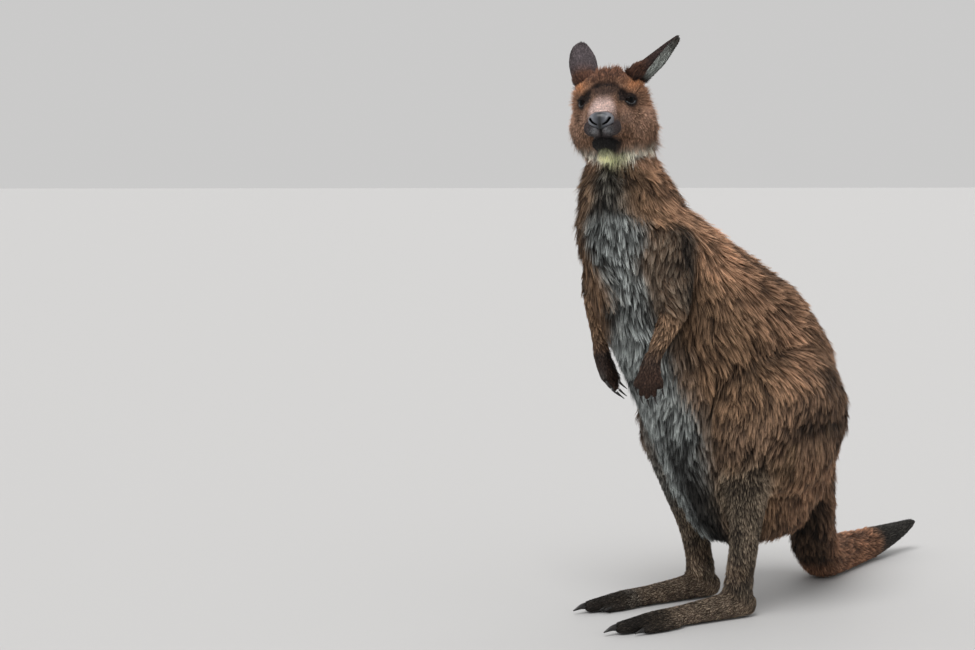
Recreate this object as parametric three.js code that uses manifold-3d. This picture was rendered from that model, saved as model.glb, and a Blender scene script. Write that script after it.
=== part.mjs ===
// A western grey kangaroo of the small, long-furred island form, standing alert on both feet and its tail.
// It is a still, life-size animal: each solid is a named part of the body, out to the tips of its coat.
// Millimetres, +Z up. The animal faces -Y and its left is +X. The origin is on the floor, under the middle.
import * as THREE from "three";
import { mergeVertices } from "three/addons/utils/BufferGeometryUtils.js";
import Module from "manifold-3d";

const wasm = await Module();
wasm.setup();

// ---- driving dimensions ----

const GAP = 0.5; // clearance between neighbouring parts of the body
const FLOOR_FLAT = 2.2; // depth that is cut off a sole so that it rests on a flat
const SMOOTHING = 0.12; // slivers thinner than this are cleaned off a cut surface

const EYE_HEIGHT = 938; // from the floor to the eyes
const HEAD_PLACE = [30, -256]; // the point midway between the eyes, seen from above
const HEAD_TURN = 46; // degrees that the head looks round to its left
const HEAD_ROLL = 3; // degrees, left side up
const EYE_RADIUS = 12.5;
const EYE_SPREAD = 37.5; // from the middle of the head to the middle of an eyeball
const EAR_LENGTH = 106;
const EAR_WIDTH = 59;
const EAR_THICKNESS = 4;
const FOOT_SPREAD = 81; // from the middle to the line of a foot
const SIDES = {
  left: { sign: 1, footBack: 0, kneeBack: 0 },
  right: { sign: -1, footBack: 41, kneeBack: -9 }, // the right foot stands a little further back
};

const v3 = (x, y, z) => new THREE.Vector3(x, y, z);
const LEFTWARD = v3(1, 0, 0);
const radians = THREE.MathUtils.degToRad;

// ---- shape tools ----

// A closed mesh as a solid that can be joined and cut.
function solidOf(geometry) {
  const bare = geometry.clone();
  for (const name of Object.keys(bare.attributes)) {
    if (name !== "position") bare.deleteAttribute(name);
  }
  const merged = mergeVertices(bare, 1e-4);
  return new wasm.Manifold(
    new wasm.Mesh({
      numProp: 3,
      vertProperties: new Float32Array(merged.attributes.position.array),
      triVerts: new Uint32Array(merged.index.array),
    }),
  );
}

// Rows of points, each row a closed ring, between two poles, as one closed mesh that faces outwards.
function closedRows(firstPole, rows, lastPole) {
  const around = rows[0].length;
  const points = [firstPole, ...rows.flat(), lastPole];
  const last = points.length - 1;
  const at = (row, i) => 1 + row * around + (i % around);
  const index = [];
  for (let i = 0; i < around; i++) {
    index.push(0, at(0, i + 1), at(0, i));
    index.push(last, at(rows.length - 1, i), at(rows.length - 1, i + 1));
    for (let row = 0; row < rows.length - 1; row++) {
      index.push(at(row, i), at(row, i + 1), at(row + 1, i + 1));
      index.push(at(row, i), at(row + 1, i + 1), at(row + 1, i));
    }
  }
  return new THREE.BufferGeometry().setFromPoints(points).setIndex(index);
}

// A form swept through stations. A station has a place, a half width, a depth over it and a depth under it.
// Over is the front of a form that runs down and the top of one that runs forward.
// The rings stand square to the path, or square to a normal where one is given. Caps round off both ends.
function loft(stations, shape) {
  const { rings, around, caps = 2, ends = [0.7, 0.7], power = 2, grow = 0 } = shape;
  const { sideways = LEFTWARD, normal } = shape;
  const along = (values) => new THREE.CatmullRomCurve3(values, false, "centripetal");
  const path = along(stations.map((s) => v3(...s.at)));
  const sizes = along(stations.map((s) => v3(s.wide, s.over, s.under ?? s.over)));
  const direction = (t) => (normal ? normal.clone() : path.getTangent(t));
  const rounded = (value, size) => Math.sign(value) * Math.abs(value) ** (2 / power) * size;
  const ring = (t, scale, push) => {
    const tangent = direction(t);
    const across = sideways.clone().addScaledVector(tangent, -sideways.dot(tangent)).normalize();
    const over = tangent.clone().cross(across);
    const size = sizes.getPoint(t);
    const centre = path.getPoint(t).addScaledVector(tangent, push);
    return Array.from({ length: around }, (_, i) => {
      const angle = (2 * Math.PI * i) / around;
      const x = rounded(Math.cos(angle), size.x + grow) * scale;
      const depth = Math.sin(angle) > 0 ? size.y : size.z;
      const y = rounded(Math.sin(angle), depth + grow) * scale;
      return centre.clone().addScaledVector(across, x).addScaledVector(over, y);
    });
  };
  const capDepth = ends.map((share, end) => {
    const size = sizes.getPoint(end);
    return ((size.x + size.y + size.z) / 3 + grow) * share;
  });
  const turns = Array.from({ length: caps }, (_, k) => (Math.PI / 2) * ((k + 1) / (caps + 1)));
  const rows = [
    ...[...turns].reverse().map((a) => ring(0, Math.cos(a), -capDepth[0] * Math.sin(a))),
    ...Array.from({ length: rings }, (_, i) => ring(i / (rings - 1), 1, 0)),
    ...turns.map((a) => ring(1, Math.cos(a), capDepth[1] * Math.sin(a))),
  ];
  const pole = (t, push) => path.getPoint(t).addScaledVector(direction(t), push);
  return solidOf(closedRows(pole(0, -capDepth[0]), rows, pole(1, capDepth[1])));
}

// An egg-shaped lump of muscle, bone or fur.
function lump([x, y, z], [wide, long, high], grow = 0, segments = 10) {
  const sphere = new THREE.SphereGeometry(1, segments, segments / 2 + 2);
  sphere.scale(wide + grow, long + grow, high + grow);
  sphere.translate(x, y, z);
  return solidOf(sphere);
}

const joined = (solids) => solids.reduce((all, next) => all.add(next));
const without = (solid, ...others) => others.reduce((rest, other) => rest.subtract(other), solid);
const largest = (solid) => solid.decompose().sort((a, b) => b.volume() - a.volume())[0];
const placed = (solid, matrix) => solid.transform(matrix.elements);

// The two sides of a cut through a point, with clearance between them. The first lies along the direction.
function parted(solid, point, direction) {
  const normal = v3(...direction).normalize();
  const offset = v3(...point).dot(normal);
  const ahead = solid.trimByPlane(normal.toArray(), offset + GAP / 2);
  const behind = solid.trimByPlane(normal.clone().negate().toArray(), -offset + GAP / 2);
  return [ahead, behind];
}

const aboveFloor = (solid) => solid.trimByPlane([0, 0, 1], 0);

// ---- materials ----

const material = (color, roughness = 0.9, metalness = 0) =>
  new THREE.MeshStandardMaterial({ color, roughness, metalness });
const COAT_BROWN = material(0x6b4c3a);
const COAT_RUFOUS = material(0x7c4f38);
const COAT_SILVER = material(0x8d9090);
const COAT_TICKED = material(0x75685c);
const COAT_DARK = material(0x2f2623);
const NOSE_SKIN = material(0x4b4c50, 0.6);
const EYE_GLOSS = material(0x17110e, 0.12);
const CLAW_HORN = material(0x1c1917, 0.4);

const animal = new THREE.Group();
const solids = new Map();

function add(name, solid, skin) {
  solids.set(name, { solid: largest(solid.simplify(SMOOTHING)), skin });
}

// ---- trunk: one form from the neck to the lower belly, in level slices ----

const slice = (z, front, back, wide) => ({
  at: [0, (front + back) / 2, z],
  wide,
  over: (back - front) / 2,
});

const TRUNK_SLICES = [
  slice(930, -250, -176, 36),
  slice(900, -258, -156, 50),
  slice(868, -266, -146, 58),
  slice(800, -284, -114, 68),
  slice(745, -297, -66, 84),
  slice(690, -294, 20, 98),
  slice(630, -288, 134, 108),
  slice(560, -254, 222, 116),
  slice(480, -214, 270, 124),
  slice(400, -168, 291, 130),
  slice(320, -124, 290, 132),
  slice(250, -92, 270, 118),
  slice(190, -66, 244, 96),
  slice(156, -44, 216, 72),
];
const trunk = (grow = 0) =>
  loft(TRUNK_SLICES, { rings: 11, around: 16, normal: v3(0, 0, -1), ends: [0.3, 0.42], power: 2.15, grow });

// ---- tail: down from the rump, a bend on the floor, and out behind to the right ----

const TAIL = [
  { at: [0, 205, 300], wide: 66, over: 66 },
  { at: [-16, 248, 212], wide: 54, over: 56 },
  { at: [-46, 277, 120], wide: 49, over: 50 },
  { at: [-96, 338, 50], wide: 47, over: 53, under: 48 },
  { at: [-150, 450, 37], wide: 39, over: 50, under: 37.5 },
  { at: [-192, 571, 40], wide: 29, over: 39, under: 28 },
  { at: [-207, 650, 50], wide: 20, over: 25, under: 19 },
  { at: [-214, 699, 60], wide: 11, over: 12 },
];
const tail = loft(TAIL, { rings: 12, around: 10, ends: [0.5, 1.1] });

// ---- legs ----

function leg(side, { sign, footBack, kneeBack }) {
  const x = (value) => sign * value;
  const thighSpec = (grow) =>
    loft(
      [
        { at: [x(84), 190, 372], wide: 58, over: 92, under: 92 },
        { at: [x(98), 120, 362], wide: 72, over: 126, under: 150 },
        { at: [x(108), 40, 345], wide: 68, over: 108, under: 132 },
        { at: [x(112), -36 + kneeBack, 335], wide: 50, over: 70, under: 80 },
      ],
      { rings: 5, around: 16, ends: [0.6, 0.62], grow },
    );
  const shinSpec = (grow) =>
    loft(
      [
        { at: [x(110), -12 + kneeBack, 320], wide: 50, over: 58, under: 60 },
        { at: [x(104), 2 + kneeBack, 240], wide: 38, over: 46, under: 42 },
        { at: [x(92), 4 + footBack * 0.35, 150], wide: 29, over: 33, under: 29 },
        { at: [x(84), 2 + footBack * 0.7, 90], wide: 26, over: 33, under: 28 },
        { at: [x(FOOT_SPREAD), -1 + footBack * 0.9, 48], wide: 25, over: 38, under: 28 },
      ],
      { rings: 7, around: 10, ends: [0.5, 0.5], grow },
    );
  const footLine = (y, offset = 0) => [x(FOOT_SPREAD + offset), y + footBack];
  const station = ([px, py], z, wide, over) => ({ at: [px, py, z], wide, over, under: z + FLOOR_FLAT });
  const footSpec = (grow) =>
    loft(
      [
        station(footLine(18), 24, 21, 20),
        station(footLine(-6), 25, 23, 30),
        station(footLine(-60), 23, 22, 22),
        station(footLine(-130), 20, 22, 17),
        station(footLine(-188), 17, 24, 17),
        station(footLine(-226), 15, 17, 14),
        station(footLine(-265), 13, 13, 11),
      ],
      { rings: 7, around: 8, ends: [0.75, 0.7], power: 2.3, grow },
    );
  const outerToe = (grow) =>
    loft(
      [
        station(footLine(-150, 17), 13, 11, 11),
        station(footLine(-190, 24), 12, 11, 10),
        station(footLine(-226, 25), 10, 8, 8),
      ],
      { rings: 3, around: 6, caps: 1, grow },
    );
  const innerToes = (grow) =>
    loft(
      [
        station(footLine(-168, -14), 13, 9, 9),
        station(footLine(-206, -20), 12, 9, 7),
        station(footLine(-236, -20), 9, 7, 6),
      ],
      { rings: 3, around: 6, caps: 1, grow },
    );
  const claw = (points, radius) =>
    loft(
      points.map(([offset, y, z], i) => ({
        at: [...footLine(y, offset), z],
        wide: radius * (1 - 0.4 * i),
        over: radius * (1.1 - 0.45 * i),
      })),
      { rings: 3, around: 5, caps: 1, ends: [0.4, 0.9] },
    );
  const claws = {
    fourth: claw([[0, -264, 15], [0, -283, 13.5], [0, -298, 8]], 8),
    fifth: claw([[25, -224, 11], [26, -238, 9.5], [26, -250, 5]], 5),
    second: claw([[-16, -234, 10], [-16, -244, 9], [-16, -253, 5.5]], 3.6),
    third: claw([[-24, -232, 10], [-24.5, -242, 9], [-25, -251, 5.5]], 3.6),
  };

  const thigh = thighSpec(0);
  const shin = shinSpec(0);
  add(`thigh_${side}`, thigh, COAT_BROWN);
  add(`shin_${side}`, without(shin, thighSpec(GAP)), COAT_TICKED);
  const [toe, foot] = parted(aboveFloor(footSpec(0)), [0, -208 + footBack, 0], [0, -1, 0]);
  add(`foot_${side}`, without(foot, shinSpec(GAP)), COAT_TICKED);
  add(`toe_fourth_${side}`, toe, COAT_DARK);
  add(`toe_fifth_${side}`, without(aboveFloor(outerToe(0)), footSpec(GAP)), COAT_DARK);
  add(`toes_joined_${side}`, without(aboveFloor(innerToes(0)), footSpec(GAP)), COAT_DARK);
  const toes = { fourth: footSpec(GAP), fifth: outerToe(GAP), second: innerToes(GAP), third: innerToes(GAP) };
  for (const [name, solid] of Object.entries(claws)) {
    add(`claw_${name}_toe_${side}`, aboveFloor(without(solid, toes[name], footSpec(GAP))), CLAW_HORN);
  }
  return joined([thighSpec(GAP), shinSpec(GAP)]);
}

// ---- arms ----

const ARMS = {
  left: {
    shoulder: [76, -158, 684],
    elbow: [114, -170, 568],
    wrist: [122, -226, 482],
    knuckles: [120, -232, 440],
    palmAcross: [0.72, 0.69, 0],
    curl: [-0.45, 0.5, -0.74],
  },
  right: {
    shoulder: [-76, -166, 688],
    elbow: [-112, -194, 602],
    wrist: [-72, -202, 476],
    knuckles: [-50, -199, 434],
    palmAcross: [0.4, -0.9, 0.1],
    curl: [0.62, 0.42, -0.62],
  },
};
const FINGER_LENGTHS = [15, 20, 22, 20, 15];
const FINGER_RADIUS = 7.4;
const PALM_HALF_WIDTH = 24;
const OUTER_FINGER_BACK = 12; // how much nearer the wrist the outer fingers start
const CLAW_REACH = 11; // each of a finger claw's two lengths

function arm(side, { shoulder, elbow, wrist, knuckles, palmAcross, curl }) {
  const between = (a, b, share) => v3(...a).lerp(v3(...b), share).toArray();
  const upperSpec = (grow) =>
    loft(
      [
        { at: shoulder, wide: 46, over: 58, under: 62 },
        { at: between(shoulder, elbow, 0.55), wide: 38, over: 44, under: 46 },
        { at: elbow, wide: 27, over: 28, under: 29 },
      ],
      { rings: 4, around: 12, ends: [0.7, 0.7], grow },
    );
  const forearmSpec = (grow) =>
    loft(
      [
        { at: elbow, wide: 24, over: 25 },
        { at: between(elbow, wrist, 0.35), wide: 22, over: 23 },
        { at: between(elbow, wrist, 0.8), wide: 17, over: 17 },
        { at: wrist, wide: 17, over: 16 },
      ],
      { rings: 5, around: 8, caps: 1, ends: [0.6, 0.6], grow },
    );
  const across = v3(...palmAcross).normalize();
  const palmSpec = (grow) =>
    loft(
      [
        { at: wrist, wide: 17.5, over: 16 },
        { at: between(wrist, knuckles, 0.5), wide: 22, over: 15.5 },
        { at: knuckles, wide: PALM_HALF_WIDTH, over: 12 },
      ],
      { rings: 3, around: 8, caps: 1, sideways: across, ends: [0.5, 0.5], grow },
    );
  const hang = v3(...knuckles).sub(v3(...wrist)).normalize();
  const bend = v3(...curl).normalize();
  const fingers = [];
  FINGER_LENGTHS.forEach((length, i) => {
    const share = (i - 2) / 2;
    const root = v3(...knuckles).addScaledVector(across, share * (PALM_HALF_WIDTH - 4));
    root.addScaledVector(hang, -OUTER_FINGER_BACK * share * share);
    const spread = hang.clone().addScaledVector(across, share * 0.3).normalize();
    const joint = root.clone().addScaledVector(spread, length * 0.55);
    const tip = joint.clone().addScaledVector(spread.clone().add(bend).normalize(), length * 0.55);
    const finger = (grow) =>
      loft(
        [root, joint, tip].map((p, k) => ({
          at: p.toArray(),
          wide: FINGER_RADIUS - k * 0.6,
          over: FINGER_RADIUS - k * 0.6,
        })),
        { rings: 2, around: 6, caps: 1, sideways: across, grow },
      );
    const clawRoot = tip.clone().addScaledVector(hang, -1);
    const clawBend = clawRoot.clone().addScaledVector(bend, CLAW_REACH).addScaledVector(hang, 2);
    const clawTip = clawBend.clone().addScaledVector(bend, CLAW_REACH - 2).add(v3(0, 2.5, -1));
    const claw = loft(
      [clawRoot, clawBend, clawTip].map((p, k) => ({
        at: p.toArray(),
        wide: 2.8 - 1.05 * k,
        over: 3.4 - 1.25 * k,
      })),
      { rings: 3, around: 5, caps: 1, sideways: across, ends: [0.3, 1.2] },
    );
    fingers.push({ finger, claw });
  });
  const hand = joined([palmSpec(0), ...fingers.map(({ finger }) => finger(0))]);
  add(`upper_arm_${side}`, upperSpec(0), COAT_BROWN);
  add(`forearm_${side}`, without(forearmSpec(0), upperSpec(GAP)), COAT_TICKED);
  add(`hand_${side}`, without(hand, forearmSpec(GAP)), COAT_DARK);
  const handCut = joined([palmSpec(GAP), ...fingers.map(({ finger }) => finger(GAP))]);
  fingers.forEach(({ claw }, i) => add(`claw_finger_${i + 1}_${side}`, without(claw, handCut), CLAW_HORN));
  return joined([upperSpec(GAP), forearmSpec(GAP)]);
}

// ---- head, modelled in its own frame: the origin is midway between the eyes, -Y is forward ----

const HEAD_FRAME = new THREE.Matrix4()
  .makeTranslation(HEAD_PLACE[0], HEAD_PLACE[1], EYE_HEIGHT)
  .multiply(new THREE.Matrix4().makeRotationZ(radians(HEAD_TURN)))
  .multiply(new THREE.Matrix4().makeRotationY(radians(-HEAD_ROLL)));

const SKULL = [
  { at: [0, 64, 0], wide: 50, over: 50, under: 54 },
  { at: [0, 40, -6], wide: 67, over: 70, under: 72 },
  { at: [0, 12, -14], wide: 66, over: 71, under: 68 },
  { at: [0, -14, -20], wide: 45, over: 50, under: 56 },
  { at: [0, -40, -28], wide: 38, over: 34, under: 42 },
  { at: [0, -64, -35], wide: 30, over: 24, under: 33 },
  { at: [0, -80, -38], wide: 23, over: 17, under: 27 },
];
const JAW = [
  { at: [0, 4, -72], wide: 34, over: 18, under: 20 },
  { at: [0, -40, -75], wide: 29, over: 14, under: 15 },
  { at: [0, -70, -76], wide: 24, over: 11, under: 12 },
];
const RUFF_SHIFT = 3; // the turn of the neck pushes the ruff to one side
const EYE_AT = (sign) => [sign * EYE_SPREAD, -11, 0];

function head() {
  const skull = (grow) =>
    joined([
      loft(SKULL, { rings: 9, around: 14, ends: [0.5, 0.55], power: 2.25, grow }),
      ...Object.values(SIDES).flatMap(({ sign }) => [
        lump([sign * 37 + RUFF_SHIFT, 24, -44], [43, 46, 50], grow), // cheek and its ruff
        lump([sign * 30, -2, 18], [22, 26, 16], grow, 8), // brow
        lump([sign * 22, -66, -48], [13, 17, 15], grow, 8), // upper lip
      ]),
    ]);
  const jaw = (grow) => loft(JAW, { rings: 4, around: 10, ends: [0.4, 0.7], grow });
  const nosePad = (grow) => lump([0, -84, -36], [23, 11, 16], grow, 10);
  const eyeball = (sign) => (grow) => lump(EYE_AT(sign), [EYE_RADIUS, EYE_RADIUS, EYE_RADIUS], grow);
  const eyes = Object.entries(SIDES).map(([side, { sign }]) => [side, eyeball(sign)]);
  const socketed = without(skull(0), jaw(GAP), nosePad(GAP), ...eyes.map(([, eye]) => eye(GAP)));
  const parts = {
    head: [socketed, COAT_RUFOUS],
    lower_jaw: [jaw(0), COAT_DARK],
    nose: [nosePad(0), NOSE_SKIN],
  };
  for (const [side, eye] of eyes) parts[`eye_${side}`] = [eye(0), EYE_GLOSS];
  for (const [name, [solid, skin]] of Object.entries(parts)) add(name, placed(solid, HEAD_FRAME), skin);
  return placed(joined([skull(GAP), jaw(GAP)]), HEAD_FRAME);
}

// ---- ears: cupped leaves, each turned its own way ----

const EARS = {
  left: { root: [36, 34, 56], axis: [0.84, 0.1, 0.55], opening: [0.53, -0.16, -0.8] },
  right: { root: [-31, 38, 43], axis: [-0.25, 0.65, 0.71], opening: [-0.6, 0.75, -0.1] },
};
const EAR_ROWS = 8;
const EAR_COLUMNS = 5;

function earShell(grow = 0) {
  const belly = (u) => 0.62 + 0.38 * Math.sin(Math.PI * Math.min(1, u / 1.15));
  const halfWidth = (u) => (EAR_WIDTH / 2) * belly(u) * Math.sqrt(1 - (u * 0.985) ** 7);
  const halfWrap = (u) => THREE.MathUtils.lerp(1.95, 0.75, Math.min(1, u * 1.25));
  const row = (u) => {
    const wrap = halfWrap(u);
    const radius = (halfWidth(u) + 1.5) / (wrap > Math.PI / 2 ? 1 : Math.sin(wrap));
    const edge = (v, inset) => {
      const angle = v * wrap;
      const reach = radius - inset;
      return v3(reach * Math.sin(angle), reach * Math.cos(angle) - radius, u * EAR_LENGTH);
    };
    const columns = Array.from({ length: EAR_COLUMNS + 1 }, (_, i) => -1 + (2 * i) / EAR_COLUMNS);
    const thin = (v) => EAR_THICKNESS * (1 - 0.45 * v * v) * (1 - 0.4 * u);
    return [...columns.map((v) => edge(v, -grow)), ...columns.reverse().map((v) => edge(v, thin(v) + grow))];
  };
  const rows = Array.from({ length: EAR_ROWS + 1 }, (_, i) => row(i / EAR_ROWS));
  const middle = (points) => points.reduce((sum, p) => sum.add(p), v3(0, 0, 0)).divideScalar(points.length);
  return closedRows(middle(rows[0]), rows.map((points) => points.reverse()), middle(rows[EAR_ROWS]));
}

function ear(side, { root, axis, opening }) {
  const up = v3(...axis).normalize();
  const back = v3(...opening).negate();
  back.addScaledVector(up, -back.dot(up)).normalize();
  const across = back.clone().cross(up);
  const frame = new THREE.Matrix4().makeBasis(across, back, up).setPosition(...root);
  const shell = earShell();
  return placed(placed(solidOf(shell), frame), HEAD_FRAME);
}

// ---- assembly ----

const headCut = head();
for (const [side, spec] of Object.entries(EARS)) {
  add(`ear_${side}`, without(ear(side, spec), headCut), COAT_BROWN);
}
const cuts = [headCut];
for (const [side, spec] of Object.entries(SIDES)) cuts.push(leg(side, spec));
for (const [side, spec] of Object.entries(ARMS)) cuts.push(arm(side, spec));

const body = without(trunk(), ...cuts);
const [neck, belowNeck] = parted(body, [0, -190, 742], [0, -0.45, 0.9]);
const [chest, belowChest] = parted(belowNeck, [0, 0, 520], [0, -0.35, 0.94]);
const [abdomen, hips] = parted(belowChest, [0, 60, 380], [0, -0.75, 0.66]);
add("neck", neck, COAT_BROWN);
add("chest", chest, COAT_SILVER);
add("abdomen", abdomen, COAT_SILVER);
add("hips", hips, COAT_BROWN);

const freeTail = aboveFloor(without(tail, trunk(GAP), ...cuts.slice(1)));
const [tailRoot, beyondRoot] = parted(freeTail, [-96, 338, 50], [0.3, -0.62, 0.7]);
const [tailTip, tailMiddle] = parted(beyondRoot, [-186, 552, 38], [-0.2, 0.97, 0]);
add("tail_root", tailRoot, COAT_BROWN);
add("tail_middle", tailMiddle, COAT_RUFOUS);
add("tail_tip", tailTip, COAT_DARK);

// The origin goes on the floor, under the middle of the whole animal's box.
const box = new THREE.Box3();
for (const { solid } of solids.values()) {
  const { min, max } = solid.boundingBox();
  box.union(new THREE.Box3(v3(...min), v3(...max)));
}
const middle = box.getCenter(v3(0, 0, 0));
for (const [name, { solid, skin }] of solids) {
  const { vertProperties, triVerts } = solid.getMesh();
  const geometry = new THREE.BufferGeometry();
  geometry.setAttribute("position", new THREE.BufferAttribute(vertProperties, 3));
  geometry.setIndex(new THREE.BufferAttribute(triVerts, 1));
  geometry.computeVertexNormals();
  const mesh = new THREE.Mesh(geometry, skin);
  mesh.name = name;
  mesh.position.set(-middle.x, -middle.y, 0);
  animal.add(mesh);
}

export default animal;
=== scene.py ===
"""A standing kangaroo as a life-size museum model: one skin with lids, lips and ears, and on it the eyes,
the nose, the claws and a coat of fine tufts.

Places in the frame are in metres. The body and the head also have their own axes, in millimetres, in which x
is to the animal's left, y to its back and z up.
"""
import math

import bmesh
import bpy
import numpy as np
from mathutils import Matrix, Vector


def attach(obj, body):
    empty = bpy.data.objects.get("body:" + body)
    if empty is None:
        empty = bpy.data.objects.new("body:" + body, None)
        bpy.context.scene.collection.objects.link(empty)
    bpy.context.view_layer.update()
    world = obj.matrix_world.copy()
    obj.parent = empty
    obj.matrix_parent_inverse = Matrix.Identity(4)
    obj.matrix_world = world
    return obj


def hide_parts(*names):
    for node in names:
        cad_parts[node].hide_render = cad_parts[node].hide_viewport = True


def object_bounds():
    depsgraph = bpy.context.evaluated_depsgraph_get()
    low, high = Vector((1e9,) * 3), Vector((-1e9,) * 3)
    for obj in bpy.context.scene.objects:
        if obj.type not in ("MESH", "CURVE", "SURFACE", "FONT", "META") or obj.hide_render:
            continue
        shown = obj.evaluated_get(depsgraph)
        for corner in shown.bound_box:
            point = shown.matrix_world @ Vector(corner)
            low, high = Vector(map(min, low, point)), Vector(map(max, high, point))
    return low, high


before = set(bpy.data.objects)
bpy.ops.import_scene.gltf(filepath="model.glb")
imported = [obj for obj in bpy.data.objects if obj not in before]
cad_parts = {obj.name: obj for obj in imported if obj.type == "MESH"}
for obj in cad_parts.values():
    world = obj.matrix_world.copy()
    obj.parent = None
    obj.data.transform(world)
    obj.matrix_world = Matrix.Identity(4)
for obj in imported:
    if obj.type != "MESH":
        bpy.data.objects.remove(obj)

import openvdb
from mathutils import Matrix, Vector
from mathutils.kdtree import KDTree

CAD_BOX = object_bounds()
BOX_LOW, BOX_HIGH = (np.array(corner) for corner in CAD_BOX)
MM = 0.001
EDGE_ROOM = 0.4 * MM  # hair and whiskers keep this far inside the solids' box

# ---------------------------------------------------------------- the animal's own measures, in millimetres

BODY_ZERO = np.array((26.2, -190.3, 0.0)) * MM  # the body's own zero, in the frame
RIGHT_FOOT_BACK = 41  # the right foot stands this much further back than the left one


def at(x, y, z):
    """A point of the body, from its own millimetres to the frame's metres."""
    return BODY_ZERO + np.array((x, y, z)) * MM


HEAD_PLACE = (30, -256, 938)
HEAD_TURN = math.radians(46)
HEAD_ROLL = math.radians(-3)
HEAD = Matrix.Translation(at(*HEAD_PLACE)) @ Matrix.Rotation(HEAD_TURN, 4, "Z")
HEAD = HEAD @ Matrix.Rotation(HEAD_ROLL, 4, "Y")
HEAD_AXES = np.array(HEAD.to_3x3())
HEAD_ZERO = np.array(HEAD.translation)
HEAD_OWN = (-95, -70)  # from here up the head's own coat takes over from the neck's
HEAD_COLOURS = (-112, -92)  # and its colours from here

EYE_RADIUS = 12.5
EYE_PLACE = np.array((37.5, -11.0, 0.0))
EYE_GAZE = np.array((0.70, -0.70, 0.07))
LID_THICKNESS = 1.9
LID_HALF_LENGTH = 12.3
UPPER_LID, LOWER_LID = 5.3, 6.0

# Height, front, back and half width of the trunk, listed from the neck down and kept from the groin up.
TRUNK = np.array([
    (930, -250, -176, 36), (868, -266, -146, 58), (800, -284, -114, 68), (745, -297, -66, 84),
    (690, -294, 20, 98), (630, -288, 134, 108), (560, -254, 222, 116), (480, -214, 270, 124),
    (400, -168, 291, 130), (320, -124, 290, 132), (250, -92, 270, 118), (190, -66, 244, 96),
])[::-1]

# ---------------------------------------------------------------- numbers on points


def to_body(points):
    """Points of the frame in the body's own millimetres."""
    return (points - BODY_ZERO) / MM


def to_head(points):
    """Points of the frame in the head's own millimetres."""
    return (points - HEAD_ZERO) @ HEAD_AXES / MM


def from_head(points):
    """Points of the head in the frame's metres."""
    return HEAD_ZERO + np.asarray(points) * MM @ HEAD_AXES.T


def unit(vectors):
    """The vectors at a length of one."""
    return vectors / np.maximum(np.linalg.norm(vectors, axis=-1, keepdims=True), 1e-9)


def ramp(value, low, high):
    """0 up to low, 1 from high, smooth between."""
    t = np.clip((value - low) / (high - low), 0, 1)
    return t * t * (3 - 2 * t)


def mix(a, b, share):
    """From a to b, row by row where a and b have several numbers."""
    a, b, share = np.asarray(a, float), np.asarray(b, float), np.asarray(share, float)
    if share.ndim == 1 and (a.shape[-1:] == (3,) or b.shape[-1:] == (3,)):
        share = share[:, None]
    return a + (b - a) * share


def in_box(points):
    """The points held inside the solids' box."""
    return np.clip(points, BOX_LOW + EDGE_ROOM, BOX_HIGH - EDGE_ROOM)


def line_gap(places, start, end):
    """How far each place is from the straight line between two ends, and how far along it, from 0 to 1."""
    start, line = np.asarray(start, float), np.asarray(end, float) - np.asarray(start, float)
    t = np.clip((places - start) @ line / (line @ line), 0, 1)
    return np.linalg.norm(places - start - t[:, None] * line, axis=1), t


def hashed(cells, seed):
    """A number from 0 to 1 for each row of whole numbers."""
    c = cells.astype(np.int64)
    h = c[..., 0] * 374761393 + c[..., 1] * 668265263 + c[..., 2] * 2147483647 + seed * 1274126177
    h = (h ^ (h >> 13)) * 1103515245
    h = (h ^ (h >> 16)) & 0xFFFFFF
    return h / float(0xFFFFFF)


def noise(points, size, seed):
    """Smooth noise from -1 to 1, with bumps about size apart."""
    q = points / size
    low = np.floor(q).astype(np.int64)
    f = q - low
    f = f * f * (3 - 2 * f)
    total = 0
    for corner in np.ndindex(2, 2, 2):
        weight = np.prod(np.where(np.array(corner) == 1, f, 1 - f), axis=1)
        total = total + weight * hashed(low + np.array(corner), seed)
    return total * 2 - 1


def nearest_cell(points, size, seed):
    """For each point the nearest of a scatter of centres about size apart, and its number from 0 to 1."""
    low = np.floor(points / size).astype(np.int64)
    best = np.full(len(points), np.inf)
    centre = np.zeros_like(points)
    mark = np.zeros(len(points))
    for step in np.ndindex(3, 3, 3):
        cell = low + np.array(step) - 1
        place = np.stack([hashed(cell, seed + k) for k in range(3)], 1)
        place = (cell + place) * size
        gap = ((place - points) ** 2).sum(1)
        near = gap < best
        best = np.where(near, gap, best)
        centre = np.where(near[:, None], place, centre)
        mark = np.where(near, hashed(cell, seed + 7), mark)
    return centre, mark


# ---------------------------------------------------------------- the skin's shape, as distances on grids

BODY_STEP, BODY_BAND = 5.5 * MM, 6  # the grid's step, and how many steps of distance it keeps by a surface
DETAIL_STEP, DETAIL_BAND = 1.2 * MM, 15
SKIN_SOFTNESS = 3.9 * MM  # how far the body's form is blurred
DEPTH_SPREAD = 6 * MM  # how far a node's coat depth reaches round it
SCULPT_REACH = 6 * MM  # the head is modelled up to this far outside its form

# Kind of node: how softly it flows into its neighbours, and how deep the coat lies on it, in millimetres.
FLESH = {
    "hips": (16, 15), "abdomen": (16, 15), "chest": (14, 15), "neck": (14, 13),
    "tail_root": (14, 12), "tail_middle": (9, 6.5), "tail_tip": (6, 3.5),
    "thigh": (16, 13), "shin": (12, 5.5), "foot": (8, 3), "toe_fourth": (5, 2), "toe_fifth": (3, 2),
    "toes_joined": (2.5, 1.5), "upper_arm": (12, 9), "forearm": (6, 4.5), "hand": (4, 1.5),
    "head": (9, 5), "lower_jaw": (12, 4), "nose": (3, 2.5),
}


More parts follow.
